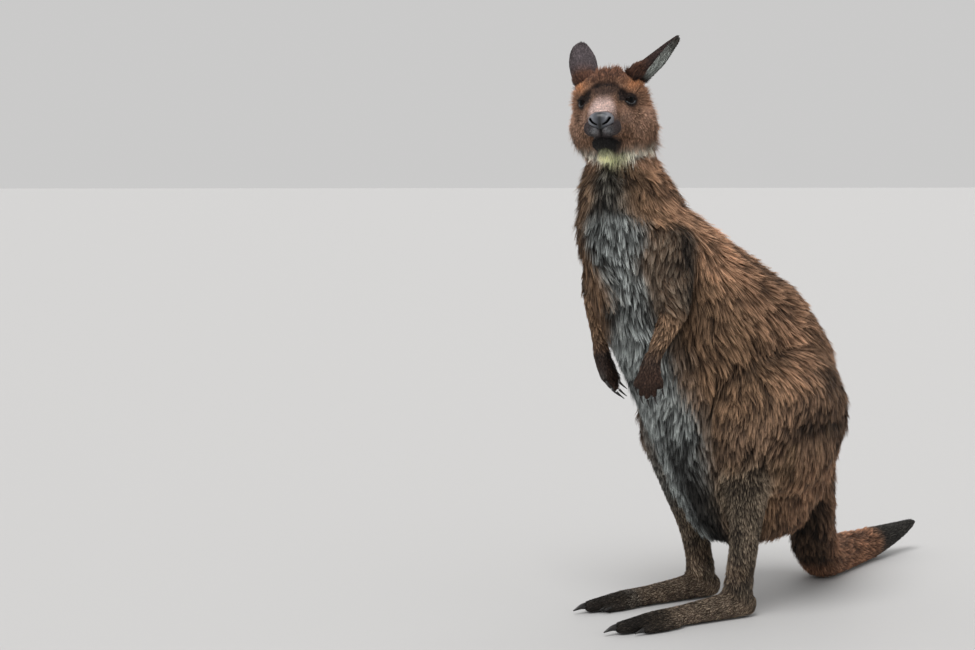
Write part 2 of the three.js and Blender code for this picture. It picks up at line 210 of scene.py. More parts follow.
def flesh_nodes(*kinds):
    """The nodes of those kinds, on either side, each with its blend and coat depth in metres."""
    for kind in kinds:
        blend, depth = FLESH[kind]
        for name in sorted(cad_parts):
            if name in (kind, kind + "_left", kind + "_right"):
                yield name, blend * MM, depth * MM


def node_surface(name):
    """The points and triangles of a node."""
    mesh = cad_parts[name].data
    mesh.calc_loop_triangles()
    points = np.empty(len(mesh.vertices) * 3, np.float32)
    mesh.vertices.foreach_get("co", points)
    corners = np.empty(len(mesh.loop_triangles) * 3, np.int32)
    mesh.loop_triangles.foreach_get("vertices", corners)
    return points.reshape(-1, 3), corners.reshape(-1, 3)


def soft_minimum(a, b, blend, far):
    """The smaller of two distances, rounded off where they are nearly the same and both are known."""
    overlap = np.maximum(blend - np.abs(a - b), 0)
    overlap = np.where((a < far * 0.98) & (b < far * 0.98), overlap, 0)
    return np.minimum(a, b) - overlap ** 2 / (4 * blend)


class Field:
    """Signed distances to a surface at the points of a grid."""

    def __init__(self, low, high, step, band):
        self.step, self.band = step, band
        self.low = np.floor(np.array(low) / step).astype(int)
        size = np.ceil(np.array(high) / step).astype(int) - self.low + 1
        self.far = band * step
        self.values = np.full(size, self.far, np.float32)

    def block(self, points, **faces):
        """Where a closed surface's grid overlaps this one, and the distances to the surface there."""
        grid = openvdb.FloatGrid.createLevelSetFromPolygons(
            points, transform=openvdb.createLinearTransform(voxelSize=self.step), halfWidth=self.band, **faces
        )
        low = np.floor(points.min(0) / self.step).astype(int) - self.band - 1
        high = np.ceil(points.max(0) / self.step).astype(int) + self.band + 1
        low = np.maximum(low, self.low)
        high = np.minimum(high, self.low + self.values.shape)
        if (high <= low).any():
            return None, None
        numbers = np.empty(high - low, np.float32)
        grid.copyToArray(numbers, ijk=tuple(int(i) for i in low))
        return tuple(slice(a, b) for a, b in zip(low - self.low, high - self.low)), numbers

    def join(self, nodes):
        """Joins the nodes softly, measures again from the joined surface, and returns the coat's depth."""
        total = np.full(self.values.shape, 1e-6, np.float32)
        depth = total * 0
        for name, blend, coat in nodes:
            points, corners = node_surface(name)
            place, numbers = self.block(points, triangles=corners)
            if place is None:
                continue
            self.values[place] = soft_minimum(self.values[place], numbers, blend, self.far)
            share = np.exp(-np.maximum(numbers, 0) / DEPTH_SPREAD)
            total[place] += share
            depth[place] += share * coat
        points, quads = self.surface()
        place, numbers = self.block(points, quads=quads)
        self.values[:] = self.far
        self.values[place] = numbers
        return softened(depth / total, DEPTH_SPREAD / self.step)

    def surface(self):
        """The points and quads where the distance is nought."""
        grid = openvdb.FloatGrid(self.far)
        grid.transform = openvdb.createLinearTransform(voxelSize=self.step)
        grid.copyFromArray(np.clip(self.values, -self.far, self.far), ijk=tuple(int(i) for i in self.low))
        points, quads = grid.convertToQuads(0.0)
        return points.astype(np.float32), quads.astype(np.uint32)

    def grid_points(self):
        """Where the grid's points are, in the frame."""
        axes = [(np.arange(n) + low) * self.step for n, low in zip(self.values.shape, self.low)]
        return np.stack(np.meshgrid(*axes, indexing="ij"), -1).reshape(-1, 3)

    def sample(self, points, values=None):
        """The distance at each point, or another number that is kept on the grid."""
        values = self.values if values is None else values
        q = np.clip(points / self.step - self.low, 0, np.array(values.shape) - 1.001)
        low = q.astype(int)
        f = q - low
        total = 0
        for corner in np.ndindex(2, 2, 2):
            weight = np.prod(np.where(np.array(corner) == 1, f, 1 - f), axis=1)
            i = low + np.array(corner)
            total = total + weight * values[i[:, 0], i[:, 1], i[:, 2]]
        return total

    def slope(self, points):
        """The way that leads straight away from the surface at each point."""
        reach = 0.8 * self.step * np.eye(3)
        return unit(np.stack([self.sample(points + e) - self.sample(points - e) for e in reach], 1))


def softened(values, spread):
    """The numbers blurred over a spread of grid steps."""
    reach = int(math.ceil(2.5 * spread))
    weights = np.exp(-0.5 * (np.arange(-reach, reach + 1) / spread) ** 2)
    weights /= weights.sum()
    for axis in range(3):
        padded = np.pad(values, [(reach, reach) if k == axis else (0, 0) for k in range(3)], mode="edge")
        total = np.zeros_like(values)
        for k, weight in enumerate(weights):
            window = [slice(None)] * 3
            window[axis] = slice(k, k + values.shape[axis])
            total += np.float32(weight) * padded[tuple(window)]
        values = total
    return values


# ---------------------------------------------------------------- the head's form, in its own millimetres


def eye_axes(side):
    """Rows: across the lids, up the lids, and out of the eye."""
    out = unit(EYE_GAZE * (side, 1, 1))
    across = unit(np.cross((0, 0, 1), out))
    return np.stack([across, np.cross(out, across), out])


def lid_edges(across):
    """How far above and below the eye's middle the lids' edges are, along the lids."""
    t = np.abs(across) / LID_HALF_LENGTH
    return UPPER_LID * (1 - t ** 2.6), LOWER_LID * (1 - t ** 2.0)


def eye_places(h):
    """For points of the head, by the nearer eye: along its lids, up them, out of it, and from its middle."""
    side = np.where(h[:, 0] < 0, -1.0, 1.0)
    mirrored = h * np.stack([side, np.ones(len(h)), np.ones(len(h))], 1) - EYE_PLACE
    local = mirrored @ eye_axes(1).T
    return local[:, 0], local[:, 1], local[:, 2], np.linalg.norm(mirrored, axis=1)


def head_coat_depth(h):
    """How deep the coat lies on the head, in millimetres."""
    y, z = h[:, 1], h[:, 2]
    depth = 5.0 + 2.0 * ramp(z, 30, 58) + 2.5 * ramp(-z, 45, 75) * ramp(y, -55, -20)
    muzzle = ramp(-y, 22, 50) * (1 - ramp(-z, 62, 76) * ramp(y, -78, -60))
    depth = mix(depth, 1.3, muzzle)
    _, _, _, off = eye_places(h)
    return mix(depth, 1.6, 1 - ramp(off, EYE_RADIUS + 2, EYE_RADIUS + 13))


def sculpt_head(field, depth):
    """Takes the coat's depth off the head's outer form and models its lids, lips, nose bed and folds."""
    whole = field.values.ravel()
    near = (whole < SCULPT_REACH) & (whole > -field.far * 0.999)
    h = to_head(field.grid_points())[near]
    own = ramp(h[:, 2], *HEAD_OWN)
    skin = whole[near] / MM + mix(depth.ravel()[near] / MM, head_coat_depth(h), own)
    skin = sculpt_mouth_and_brow(sculpt_eyes(skin, h), h)
    flat = whole.copy()
    flat[near] = skin * MM
    outside = whole >= SCULPT_REACH
    flat[outside] = np.minimum(field.far, whole[outside] + 1 * MM)
    field.values = flat.reshape(field.values.shape).astype(np.float32)


def sculpt_eyes(skin, h):
    """The eyeball's bed and the lids drawn over it, with their folds and the opening between them."""
    along, up, out, off = eye_places(h)
    lid = off - (EYE_RADIUS + LID_THICKNESS)
    overlap = np.maximum(5.0 - np.abs(skin - lid), 0)
    skin = np.minimum(skin, lid) - overlap ** 2 / 20
    upper, lower = lid_edges(along)
    by_eye = np.exp(-(np.maximum(off - EYE_RADIUS - 4, 0) / 4) ** 2) * ramp(out, -2, 3)
    skin += 1.3 * np.exp(-((up - upper - 4.2) / 1.1) ** 2) * by_eye
    skin += 0.8 * np.exp(-((up + lower + 3.6) / 1.2) ** 2) * by_eye
    opening = np.maximum.reduce([up - upper, -up - lower, EYE_RADIUS - 0.9 - off, 2.0 - out])
    edge = np.maximum(1.4 - np.abs(skin + opening), 0)
    return np.maximum(skin, -opening) + edge ** 2 / 5.6


def sculpt_mouth_and_brow(skin, h):
    """The tear corner, the lips, the crease over the bridge, the nose pad's bed and the whisker pads."""
    x, y, z = np.abs(h[:, 0]), h[:, 1], h[:, 2]
    skin += 1.6 * np.exp(-((x - 27) / 4) ** 2 - ((y + 26) / 9) ** 2 - ((z + 8) / 7) ** 2)
    # the mouth: a line that runs back from the front of the lips, and the split of the upper lip
    mouth_height = -69.5 + 0.05 * np.maximum(-y - 40, 0) + 2.0 * np.exp(-(x / 5) ** 2) - 2.0 * ramp(x, 10, 26)
    skin += 3.2 * np.exp(-((z - mouth_height) / 1.3) ** 2) * ramp(-y, 28, 40)
    skin += 3.2 * np.exp(-(x / 2.0) ** 2) * ramp(-y, 68, 76) * ramp(-z, 40, 46) * (1 - ramp(-z, 66, 70))
    skin -= 2.4 * np.exp(-((x - 11) / 9) ** 2 - ((z + 57) / 10) ** 2) * ramp(-y, 62, 76)
    skin += 2.0 * np.exp(-((z + 78) / 6) ** 2) * ramp(-y, 56, 70)
    # the crease across the brow, above the bridge of the muzzle
    crease = np.exp(-((z - 29 + 0.012 * x ** 2) / 3.2) ** 2) * (1 - ramp(x, 17, 26)) * ramp(-y, -10, 4)
    skin += 2.4 * crease
    # the nose pad's bed
    skin += 8 * (1 - ramp(nose_outline(h), -2.5, -0.5)) * ramp(-y, 60, 66)
    # whisker pads
    for row in range(3):
        line = -52 + 5.5 * row
        skin += 0.35 * np.exp(-((z - line) / 0.9) ** 2) * ramp(-y, 56, 64) * ramp(x, 10, 15)
    return skin


# Parts that get a finer grid: the nodes in it, and the part's box, in the body's millimetres.
FOOT_NODES = ("shin", "foot", "toe_fourth", "toe_fifth", "toes_joined")
DETAILS = {
    "head": (("neck", "head", "lower_jaw", "nose"), (-52, -372, 800), (142, -150, 1012)),
    "left_hand": (("forearm", "hand"), (84, -262, 408), (152, -182, 500)),
    "right_hand": (("forearm", "hand"), (-104, -240, 404), (-24, -158, 500)),
    "left_foot": (FOOT_NODES, (52, -282, -2), (118, 50, 80)),
    "right_foot": (FOOT_NODES, (-118, -240, -2), (-52, 92, 80)),
}
DETAIL_FADE = 9 * MM  # how deep inside its box a finer form takes over
BELLY_MARGIN = 45 * MM  # how far round a hand's box the belly behind it is measured


def inside_box(points, low, high, fade):
    """1 well inside the box, 0 outside it."""
    gap = np.minimum(points - low, high - points).min(1)
    return ramp(gap, 0, fade)


def body_folds(b):
    """How deep the body's creases are, in metres: the throat's, the haunch's and the rump's."""
    front = ramp(-b[:, 1], 150, 230)
    crease = 7 * MM * np.exp(-((b[:, 2] - CREASE_HEIGHT) / 12) ** 2) * front
    crease += 6 * MM * np.exp(-(side_line_gap(b, HAUNCH_FOLD) / 13) ** 2)
    return crease + 4 * MM * np.exp(-(side_line_gap(b, RUMP_FOLD) / 12) ** 2)


def detail_field(name, nodes, low, high):
    """The skin's finer form in one box. A hand's has the belly behind it too."""
    field = Field(low, high, DETAIL_STEP, DETAIL_BAND)
    coat = field.join(flesh_nodes(*nodes))
    field.values = softened(field.values, 1.2)
    field.outer = field.values
    if name == "head":
        sculpt_head(field, coat)
        field.values = softened(field.values, 0.5)
    else:
        field.values = softened(field.values + coat, 0.6)
    if name.endswith("hand"):
        belly = Field(low - BELLY_MARGIN, high + BELLY_MARGIN, BODY_STEP, BODY_BAND)
        belly_coat = belly.join(flesh_nodes("abdomen", "hips", "chest"))
        belly.values = softened(belly.values + belly_coat, SKIN_SOFTNESS / BODY_STEP)
        behind = belly.sample(field.grid_points()).reshape(field.values.shape)
        field.values = np.minimum(field.values, behind).astype(np.float32)
    return field


def take_finer_form(body, field, low, high):
    """Gives the coarse grid the finer form where they overlap."""
    first = np.maximum(np.floor(low / BODY_STEP).astype(int) - body.low, 0)
    last = np.minimum(np.ceil(high / BODY_STEP).astype(int) - body.low + 1, body.values.shape)
    window = tuple(slice(a, b) for a, b in zip(first, last))
    axes = [(np.arange(a, b) + o) * BODY_STEP for a, b, o in zip(first, last, body.low)]
    places = np.stack(np.meshgrid(*axes, indexing="ij"), -1).reshape(-1, 3)
    share = inside_box(places, low, high, DETAIL_FADE)
    coarse = body.values[window].ravel()
    body.values[window] = mix(coarse, field.sample(places), share).reshape(body.values[window].shape)


def make_skin_form():
    """The body's field with the finer forms in it, the coat's depth on its grid, and the finer fields."""
    margin = 4 * BODY_STEP
    body = Field(BOX_LOW - margin, BOX_HIGH + margin, BODY_STEP, BODY_BAND)
    depth = body.join(flesh_nodes(*FLESH))
    values = body.values + depth
    values = 0.15 * values + 0.85 * softened(values, SKIN_SOFTNESS / BODY_STEP)
    folds = body_folds(to_body(body.grid_points()))
    body.values = (values + folds.reshape(values.shape)).astype(np.float32)
    finer = {}
    for name, (nodes, low, high) in DETAILS.items():
        low, high = at(*low), at(*high)
        finer[name] = (detail_field(name, nodes, low, high), low, high)
        take_finer_form(body, *finer[name])
    return body, depth, finer


def skin_mesh(body, finer):
    """The skin, with its faces divided in the finer parts and their points drawn onto the finer forms."""
    points, quads = body.surface()
    mesh = bpy.data.meshes.new("skin")
    mesh.from_pydata(points.astype(float).tolist(), [], quads.astype(int).tolist())
    bm = bmesh.new()
    bm.from_mesh(mesh)
    for name, (_, low, high) in finer.items():
        for extra in range(3 if name == "head" else 1):
            bm.faces.ensure_lookup_table()
            centres = np.array([face.calc_center_median() for face in bm.faces])
            if extra:
                h = to_head(centres)
                _, _, _, off = eye_places(h)
                chosen = off < EYE_RADIUS + (7 if extra == 1 else 3)
                chosen |= (h[:, 1] < -60) & (h[:, 2] < -30) & (h[:, 2] > -82) & (extra == 1)
                chosen &= inside_box(centres, low, high, DETAIL_FADE) > 0.99
            else:
                chosen = inside_box(centres, low, high, DETAIL_FADE) > 0.5
            edges = {edge for face, take in zip(bm.faces, chosen) if take for edge in face.edges}
            bmesh.ops.subdivide_edges(bm, edges=list(edges), cuts=1, use_grid_fill=True)
    bmesh.ops.triangulate(bm, faces=[face for face in bm.faces if len(face.verts) > 4])
    bm.to_mesh(mesh)
    bm.free()
    co = np.empty(len(mesh.vertices) * 3)
    mesh.vertices.foreach_get("co", co)
    co = co.reshape(-1, 3)
    for field, low, high in finer.values():
        share = inside_box(co, low, high, DETAIL_FADE)
        near = np.flatnonzero(share > 0)
        for _ in range(5):
            here = co[near]
            step = field.sample(here)[:, None] * field.slope(here)
            co[near] = here - 0.8 * share[near][:, None] * step
    mesh.vertices.foreach_set("co", co.ravel())
    mesh.update()
    return mesh


# ---------------------------------------------------------------- the lie of the coat

SIDES = {"left": (1, 0, 0), "right": (-1, RIGHT_FOOT_BACK, -9)}  # sign, how far back foot and knee are


def bones():
    """Each bone's name, its start and end, the flesh's half width at both, and its kind of hair."""
    yield "throat", (28, -238, 905), (6, -212, 820), 52, 60, "neck"
    yield "neck", (6, -212, 820), (0, -188, 735), 62, 84, "neck"
    yield "chest", (0, -188, 735), (0, -105, 600), 92, 124, "trunk"
    yield "waist", (0, -105, 600), (0, 20, 450), 128, 160, "trunk"
    yield "rump", (0, 20, 450), (0, 110, 290), 160, 150, "trunk"
    yield "groin", (0, 90, 290), (0, 95, 180), 125, 90, "trunk"
    yield "tail_root", (0, 205, 300), (-46, 277, 120), 66, 50, "tail_root"
    yield "tail_bend", (-46, 277, 120), (-96, 338, 50), 50, 48, "tail_root"
    yield "tail_middle", (-96, 338, 50), (-186, 552, 38), 48, 32, "tail_middle"
    yield "tail_tip", (-186, 552, 38), (-214, 699, 60), 31, 12, "tail_tip"
    for side, (sign, back, knee) in SIDES.items():
        yield "thigh_" + side, (sign * 90, 165, 368), (sign * 111, -22 + knee, 330), 108, 58, "thigh"
        yield "shin_" + side, (sign * 110, -10 + knee, 322), (sign * 84, 2 + 0.7 * back, 92), 52, 28, "shin"
        yield "heel_" + side, (sign * 84, 2 + 0.7 * back, 92), (sign * 81, 4 + back, 26), 28, 25, "shin"
        yield "foot_" + side, (sign * 81, 4 + back, 24), (sign * 81, -170 + back, 20), 25, 22, "foot"
        yield "toes_" + side, (sign * 81, -170 + back, 20), (sign * 81, -262 + back, 11), 22, 15, "toes"
    yield "upper_arm_left", (76, -158, 684), (114, -170, 568), 52, 28, "upper_arm"
    yield "forearm_left", (114, -170, 568), (122, -226, 482), 25, 17, "forearm"
    yield "hand_left", (122, -226, 482), (116, -226, 425), 18, 22, "hand"
    yield "upper_arm_right", (-76, -166, 688), (-112, -194, 602), 52, 28, "upper_arm"
    yield "forearm_right", (-112, -194, 602), (-72, -202, 476), 25, 17, "forearm"
    yield "hand_right", (-72, -202, 476), (-44, -196, 420), 18, 22, "hand"
    yield "skull", (30, -256, 938), (4, -228, 940), 62, 66, "head"
    yield "muzzle", (30, -256, 915), (84, -312, 900), 52, 28, "head"


# Kind of hair: its length and width in millimetres, and how many tufts are on a square centimetre.
HAIR = {
    "neck": (31, 1.25, 40), "trunk": (37, 1.3, 35), "thigh": (32, 1.25, 46), "tail_root": (28, 1.4, 32),
    "tail_middle": (19, 1.3, 34), "tail_tip": (11, 1.2, 36), "shin": (14, 1.15, 42), "foot": (9, 1.0, 48),
    "toes": (9, 1.0, 48), "upper_arm": (26, 1.35, 36), "forearm": (15, 1.15, 46), "hand": (7, 0.9, 60),
    "head": (9, 0.85, 95),
}
BARE_SOLE = 3.0  # no hair grows below this height, in millimetres
DOWN = np.array((0.0, 0.0, -1.0))


def bone_shares(points):
    """How much each bone has to do with each point, how far along its nearest one it is, and which one."""
    b = to_body(points)
    shares, alongs, names = [], [], []
    for name, start, end, near, far, _ in bones():
        start, end = np.array(start, float), np.array(end, float)
        line = end - start
        t = ((b - start) @ line) / (line @ line)
        held = np.clip(t, 0, 1)
        gap = np.linalg.norm(b - start - held[:, None] * line, axis=1) / (near + (far - near) * held)
        shares.append(1 / (gap ** 8 + 0.02))
        alongs.append(t)
        names.append(name)
    shares = np.array(shares).T
    shares /= shares.sum(1, keepdims=True)
    best = shares.argmax(1)
    return shares, np.array(alongs).T[np.arange(len(b)), best], best, names


def belly_angle(b):
    """The angle round the trunk from the middle of the belly, in degrees."""
    front, back, half = (np.interp(b[:, 2], TRUNK[:, 0], TRUNK[:, k]) for k in (1, 2, 3))
    middle = (front + back) / 2
    return np.degrees(np.arctan2(np.abs(b[:, 0]) / half, (middle - b[:, 1]) / (back - front) * 2))


def head_lie(h):
    """Which way the hair lies on the head."""
    x, z = h[:, 0], h[:, 2]
    side = np.sign(x)
    cheek = np.stack([side * 0.15, 0 * x + 0.85, 0 * x - 0.55], 1)
    brow = np.stack([side * 0.10, 0 * x + 0.70, 0 * x + 0.70], 1)
    jaw = np.stack([side * 0.10, 0 * x + 0.45, 0 * x - 0.90], 1)
    lie = mix(cheek, brow, ramp(z, -8, 14))
    return mix(lie, jaw, ramp(-z, 48, 72)) @ HEAD_AXES.T


def trunk_lie(b):
    """Which way the hair lies on the trunk: down the belly, and back and down along the spine."""
    none = np.zeros(len(b))
    backward = np.interp(b[:, 2], (150, 450, 700, 900), (0.15, 0.75, 0.95, 0.25))
    upward = np.interp(b[:, 2], (150, 450, 700, 900), (-1.0, -0.80, -0.65, -1.0))
    spine = unit(np.stack([none, backward, upward], 1))
    return mix(np.stack([none, none + 0.12, none - 1], 1), spine, ramp(belly_angle(b), 75, 130))


def coat_lie(points, normals, shares):
    """The way that the coat lies at each point, along the skin."""
    trunk = trunk_lie(to_body(points))
    lie = np.zeros_like(points)
    for k, (_, start, end, _, _, kind) in enumerate(bones()):
        line = unit(np.array(end, float) - np.array(start, float))
        if kind == "trunk":
            way = trunk
        elif kind == "head":
            way = head_lie(to_head(points))
        elif kind == "thigh":
            way = unit(0.45 * line + DOWN)[None]
        elif kind in ("upper_arm", "neck", "tail_root"):
            way = unit(line + 0.35 * DOWN)[None]
        else:
            way = unit(line + 0.12 * DOWN)[None]
        lie += shares[:, k:k + 1] * way
    return unit(lie - normals * (lie * normals).sum(1, keepdims=True))


def relaxed(values, edges, normals, rounds):
    """Directions made even over the mesh, kept along the skin."""
    a, b = edges[:, 0], edges[:, 1]
    for _ in range(rounds):
        total = np.stack([
            np.bincount(a, values[b, k], len(values)) + np.bincount(b, values[a, k], len(values))
            for k in range(3)
        ], 1)
        values = unit(values + total)
        values = unit(values - normals * (values * normals).sum(1, keepdims=True))
    return values


# ---------------------------------------------------------------- the markings


def srgb(red, green, blue):
    """A colour given as a screen's numbers from 0 to 255, as light."""
    c = np.array((red, green, blue)) / 255
    return np.where(c <= 0.04045, c / 12.92, ((c + 0.055) / 1.055) ** 2.4)


# A name with TIP is the colour of the same hair's tips.
BACK_BROWN, BACK_TIP = srgb(106, 78, 59), srgb(160, 127, 101)
FLANK_BROWN, FLANK_TIP = srgb(94, 71, 53), srgb(152, 122, 95)
THIGH_BROWN, THIGH_TIP = srgb(74, 56, 44), srgb(128, 103, 82)
SILVER, SILVER_TIP = srgb(79, 81, 80), srgb(174, 180, 178)
THROAT, THROAT_TIP = srgb(84, 77, 68), srgb(172, 165, 150)
SILVER_EDGE, SILVER_EDGE_TIP = srgb(56, 48, 41), srgb(112, 98, 84)
SLATE = srgb(40, 39, 37)
OCHRE = srgb(150, 124, 92)
TICKED, TICKED_TIP = srgb(68, 57, 48), srgb(152, 137, 117)
SOOT, SOOT_TIP = srgb(40, 35, 31), srgb(66, 60, 53)
ARM_DARK, ARM_BROWN, ARM_TIP = srgb(58, 50, 43), srgb(118, 90, 68), srgb(184, 152, 122)
ARM_DARK_TIP = srgb(120, 109, 95)
HAND_BROWN, HAND_TIP = srgb(64, 46, 38), srgb(92, 70, 58)
TAIL_SHADE, TAIL_SHADE_TIP = srgb(46, 36, 27), srgb(86, 67, 52)
TAIL_BROWN, TAIL_TIP = srgb(122, 86, 65), srgb(162, 120, 92)
TAIL_END, TAIL_END_TIP = srgb(48, 46, 43), srgb(70, 67, 63)
RUFOUS, RUFOUS_TIP = srgb(144, 107, 85), srgb(192, 149, 119)
CHEEK_PALE_HIGHLIGHT, CHEEK_TIP = srgb(194, 154, 132), srgb(220, 184, 160)
CHEEK_LOW, CHEEK_SHADE = srgb(112, 90, 73), srgb(76, 58, 48)
CROWN, CROWN_TIP = srgb(90, 60, 46), srgb(146, 101, 77)
BROW_ORANGE, BROW_TIP = srgb(196, 131, 87), srgb(226, 162, 114)
MASK_DARK, MASK_TIP = srgb(26, 20, 20), srgb(56, 42, 38)
BROW_DARK, BROW_DARK_TIP = srgb(54, 40, 37), srgb(84, 64, 57)
LID_RIM_REFLECTION = srgb(142, 150, 155)
BRIDGE_PINK, BRIDGE_TIP = srgb(246, 216, 207), srgb(250, 224, 214)
MUZZLE_GREY, MUZZLE_TIP = srgb(58, 53, 56), srgb(84, 78, 80)
MUZZLE_STRIPE = srgb(78, 62, 54)
LOBE_GREY_HIGHLIGHT = srgb(140, 141, 144)
LIP_BLACK, LIP_TIP = srgb(20, 18, 18), srgb(42, 39, 38)
JAW_GREY, JAW_WHITE = srgb(206, 202, 186), srgb(246, 244, 232)
CHIN_GREEN, CHIN_TIP = srgb(214, 217, 168), srgb(232, 235, 192)
EAR_BACK, EAR_BACK_TIP, EAR_RIM = srgb(86, 56, 43), srgb(112, 78, 61), srgb(48, 40, 39)
# one bare leather for both ears, painted lighter on the right and darker on the left as painted light and
# shade
EAR_LEATHER_LIT_AND_SHADED = {"left": srgb(74, 56, 52), "right": srgb(98, 88, 91)}
EAR_PALE, EAR_PALE_TIP = srgb(178, 184, 179), srgb(224, 230, 225)
EAR_END, EAR_END_TIP, EAR_CENTRE = srgb(92, 89, 82), srgb(96, 94, 88), srgb(44, 44, 42)
EAR_DEEP, EAR_DEEP_TIP = srgb(58, 42, 34), srgb(92, 68, 55)
NOSE_GREY, NOSE_SIDE_HIGHLIGHT, NOSE_MIDDLE = srgb(74, 77, 84), srgb(112, 114, 120), srgb(28, 29, 33)
NOSE_SPLIT, NOSTRIL_BLACK = srgb(18, 17, 18), srgb(14, 12, 12)
PUPIL, IRIS, EYE_EDGE, EYE_WHITE = srgb(6, 6, 7), srgb(22, 16, 13), srgb(10, 8, 8), srgb(30, 27, 27)
CLAW_DARK, CLAW_LIGHT = srgb(12, 11, 10), srgb(40, 35, 31)
WHISKER, LASH = srgb(112, 102, 92), srgb(20, 16, 15)


def head_markings(h):
    """The head's colours: the hair's own and its tips'. Later ones lie over earlier ones."""
    x, y, z = np.abs(h[:, 0]), h[:, 1], h[:, 2]
    speckle = noise(h, 5.0, 3)[:, None]
    # crown, cheeks and brows
    colour = mix(RUFOUS, CROWN, ramp(z, 14, 40)) * (1 + 0.15 * speckle)
    tip = mix(RUFOUS_TIP, CROWN_TIP, ramp(z, 18, 46))
    low_cheek = ramp(-z, 10, 50) * ramp(y, -40, -10)
    colour = mix(colour, CHEEK_LOW, 0.6 * low_cheek)
    # pale patches on the cheeks, made paler as a painted highlight
    for side, high, pale in ((38, -26, 1), (66, -24, 0.8), (56, -46, 0.5)):
        spot = pale * np.exp(-((x - side) / 9) ** 2 - ((z - high) / 15) ** 2) * (y > -60)
        colour, tip = mix(colour, CHEEK_PALE_HIGHLIGHT, 0.8 * spot), mix(tip, CHEEK_TIP, 0.8 * spot)
    slant = x - 52 - 0.25 * (z + 25)
    colour = mix(colour, CHEEK_SHADE, 0.85 * np.exp(-(slant / 5) ** 2 - ((z + 25) / 15) ** 2))
    brow = np.exp(-((x - 47) / 14) ** 2 - ((z - 25) / 10) ** 2) * (1 - ramp(y, 18, 40))
    colour, tip = mix(colour, BROW_ORANGE, 0.85 * brow), mix(tip, BROW_TIP, 0.8 * brow)
    # the dark mask round the eyes, the arch over the bridge, a painted reflection along the lower lids' wet
    # rims and the pink bridge
    along, up, out, off = eye_places(h)
    ring = np.exp(-(np.maximum(np.hypot(along / 1.45, up) - 8.0, 0) / 4.5) ** 2) * (1 - ramp(off, 22, 30))
    inner = np.exp(-((x - 30) / 8) ** 2 - ((z - 8) / 11) ** 2) * (y < 10)
    arch = np.exp(-((z - 25 + 0.008 * x ** 2) / 6.5) ** 2) * (1 - ramp(x, 17, 30))
    below_arch = np.exp(-((z - 14) / 9) ** 2) * (1 - ramp(x, 14, 30))
    uneven = speckle[:, 0]
    mask = np.clip(1.3 * ring + 1.6 * inner + arch * (0.95 + 0.3 * uneven) + 0.15 * uneven, 0, 1)
    _, low_lid = lid_edges(along)
    # a painted reflection along the lower lid's wet rim
    rim = np.exp(-((up + low_lid + 0.4) / 0.55) ** 2)
    rim = rim * (off < EYE_RADIUS + 3) * (out > 1) * (np.abs(along) < 11)
    half = np.interp(z, (-34, -14, 0, 12, 24), (24, 21, 16, 11, 6))
    bridge = (1 - ramp(x, half - 7, half + 6)) * ramp(-y, 6, 22) * ramp(z, -38, -28) * (1 - ramp(z, -10, 17))
    colour, tip = mix(colour, BRIDGE_PINK, 0.95 * bridge), mix(tip, BRIDGE_TIP, 0.9 * bridge)
    colour, tip = mix(colour, BROW_DARK, 0.85 * below_arch), mix(tip, BROW_DARK_TIP, 0.85 * below_arch)
    colour, tip = mix(colour, MASK_DARK, 0.97 * mask), mix(tip, MASK_TIP, 0.97 * mask)
    colour = mix(colour, LID_RIM_REFLECTION, rim)
    # the muzzle's side, its grey end, the upper lip's grey lobes with a painted highlight on them, and the
    # lips
    stripe = np.exp(-((z + 36 + 0.35 * (y + 40)) / 8) ** 2) * ramp(-y, 20, 44) * ramp(x, 14, 22)
    colour = mix(colour, MUZZLE_STRIPE, 0.6 * stripe)
    snout = ramp(-y, 54, 68) * ramp(-z, 26, 40)
    colour, tip = mix(colour, MUZZLE_GREY, 0.95 * snout), mix(tip, MUZZLE_TIP, 0.9 * snout)
    # painted highlight on the rounded middles of the upper lip's grey lobes
    lobes = np.exp(-((x - 12) / 9) ** 2 - ((z + 52) / 7) ** 2) * ramp(-y, 64, 74)
    colour, tip = mix(colour, LOBE_GREY_HIGHLIGHT, 0.8 * lobes), mix(tip, LOBE_GREY_HIGHLIGHT, 0.8 * lobes)
    # painted shade down the upper lip's split, in its groove, joined to the lips' black
    split = np.exp(-(x / 2.6) ** 2) * ramp(-y, 64, 72) * ramp(-z, 40, 46)
    sides = (1 - ramp(x, 18, 31)) * ramp(-y, 12, 30)
    dark = np.maximum(ramp(-z, 56, 70) * (1 - ramp(-z, 80, 86)) * sides, split)
    colour, tip = mix(colour, LIP_BLACK, dark), mix(tip, LIP_TIP, dark)
    # the pale jaw and the chin
    low_edge = np.interp(y, (-60, -30, 10, 40), (-92, -89, -84, -70))
    jaw = np.exp(-((z - low_edge) / 9) ** 2) * (1 - 0.9 * dark) * (1 - ramp(y, 34, 54))
    colour, tip = mix(colour, JAW_GREY, 0.9 * jaw), mix(tip, JAW_WHITE, jaw)
    chin = np.exp(-((h[:, 0] - 15) / 28) ** 4) * ramp(-z, 80, 85)
    chin = chin * (1 - ramp(-z, 104, 118)) * ramp(-y, -14, 8)
    return mix(colour, CHIN_GREEN, chin), mix(tip, CHIN_TIP, chin)


CREASE_HEIGHT = 748  # where the throat meets the chest
# The folds of the flanks: y and z along them.
HAUNCH_FOLD = np.array(((168, 492), (90, 486), (3, 471), (-50, 440), (-74, 400), (-80, 331)))
RUMP_FOLD = np.array(((64, 350), (112, 352), (150, 360), (190, 352)))
RIGHT_FOLDS_BACK = 32.0  # the right flank's folds are this much further back
FAR = 1e3  # a distance that is far from anything, in millimetres


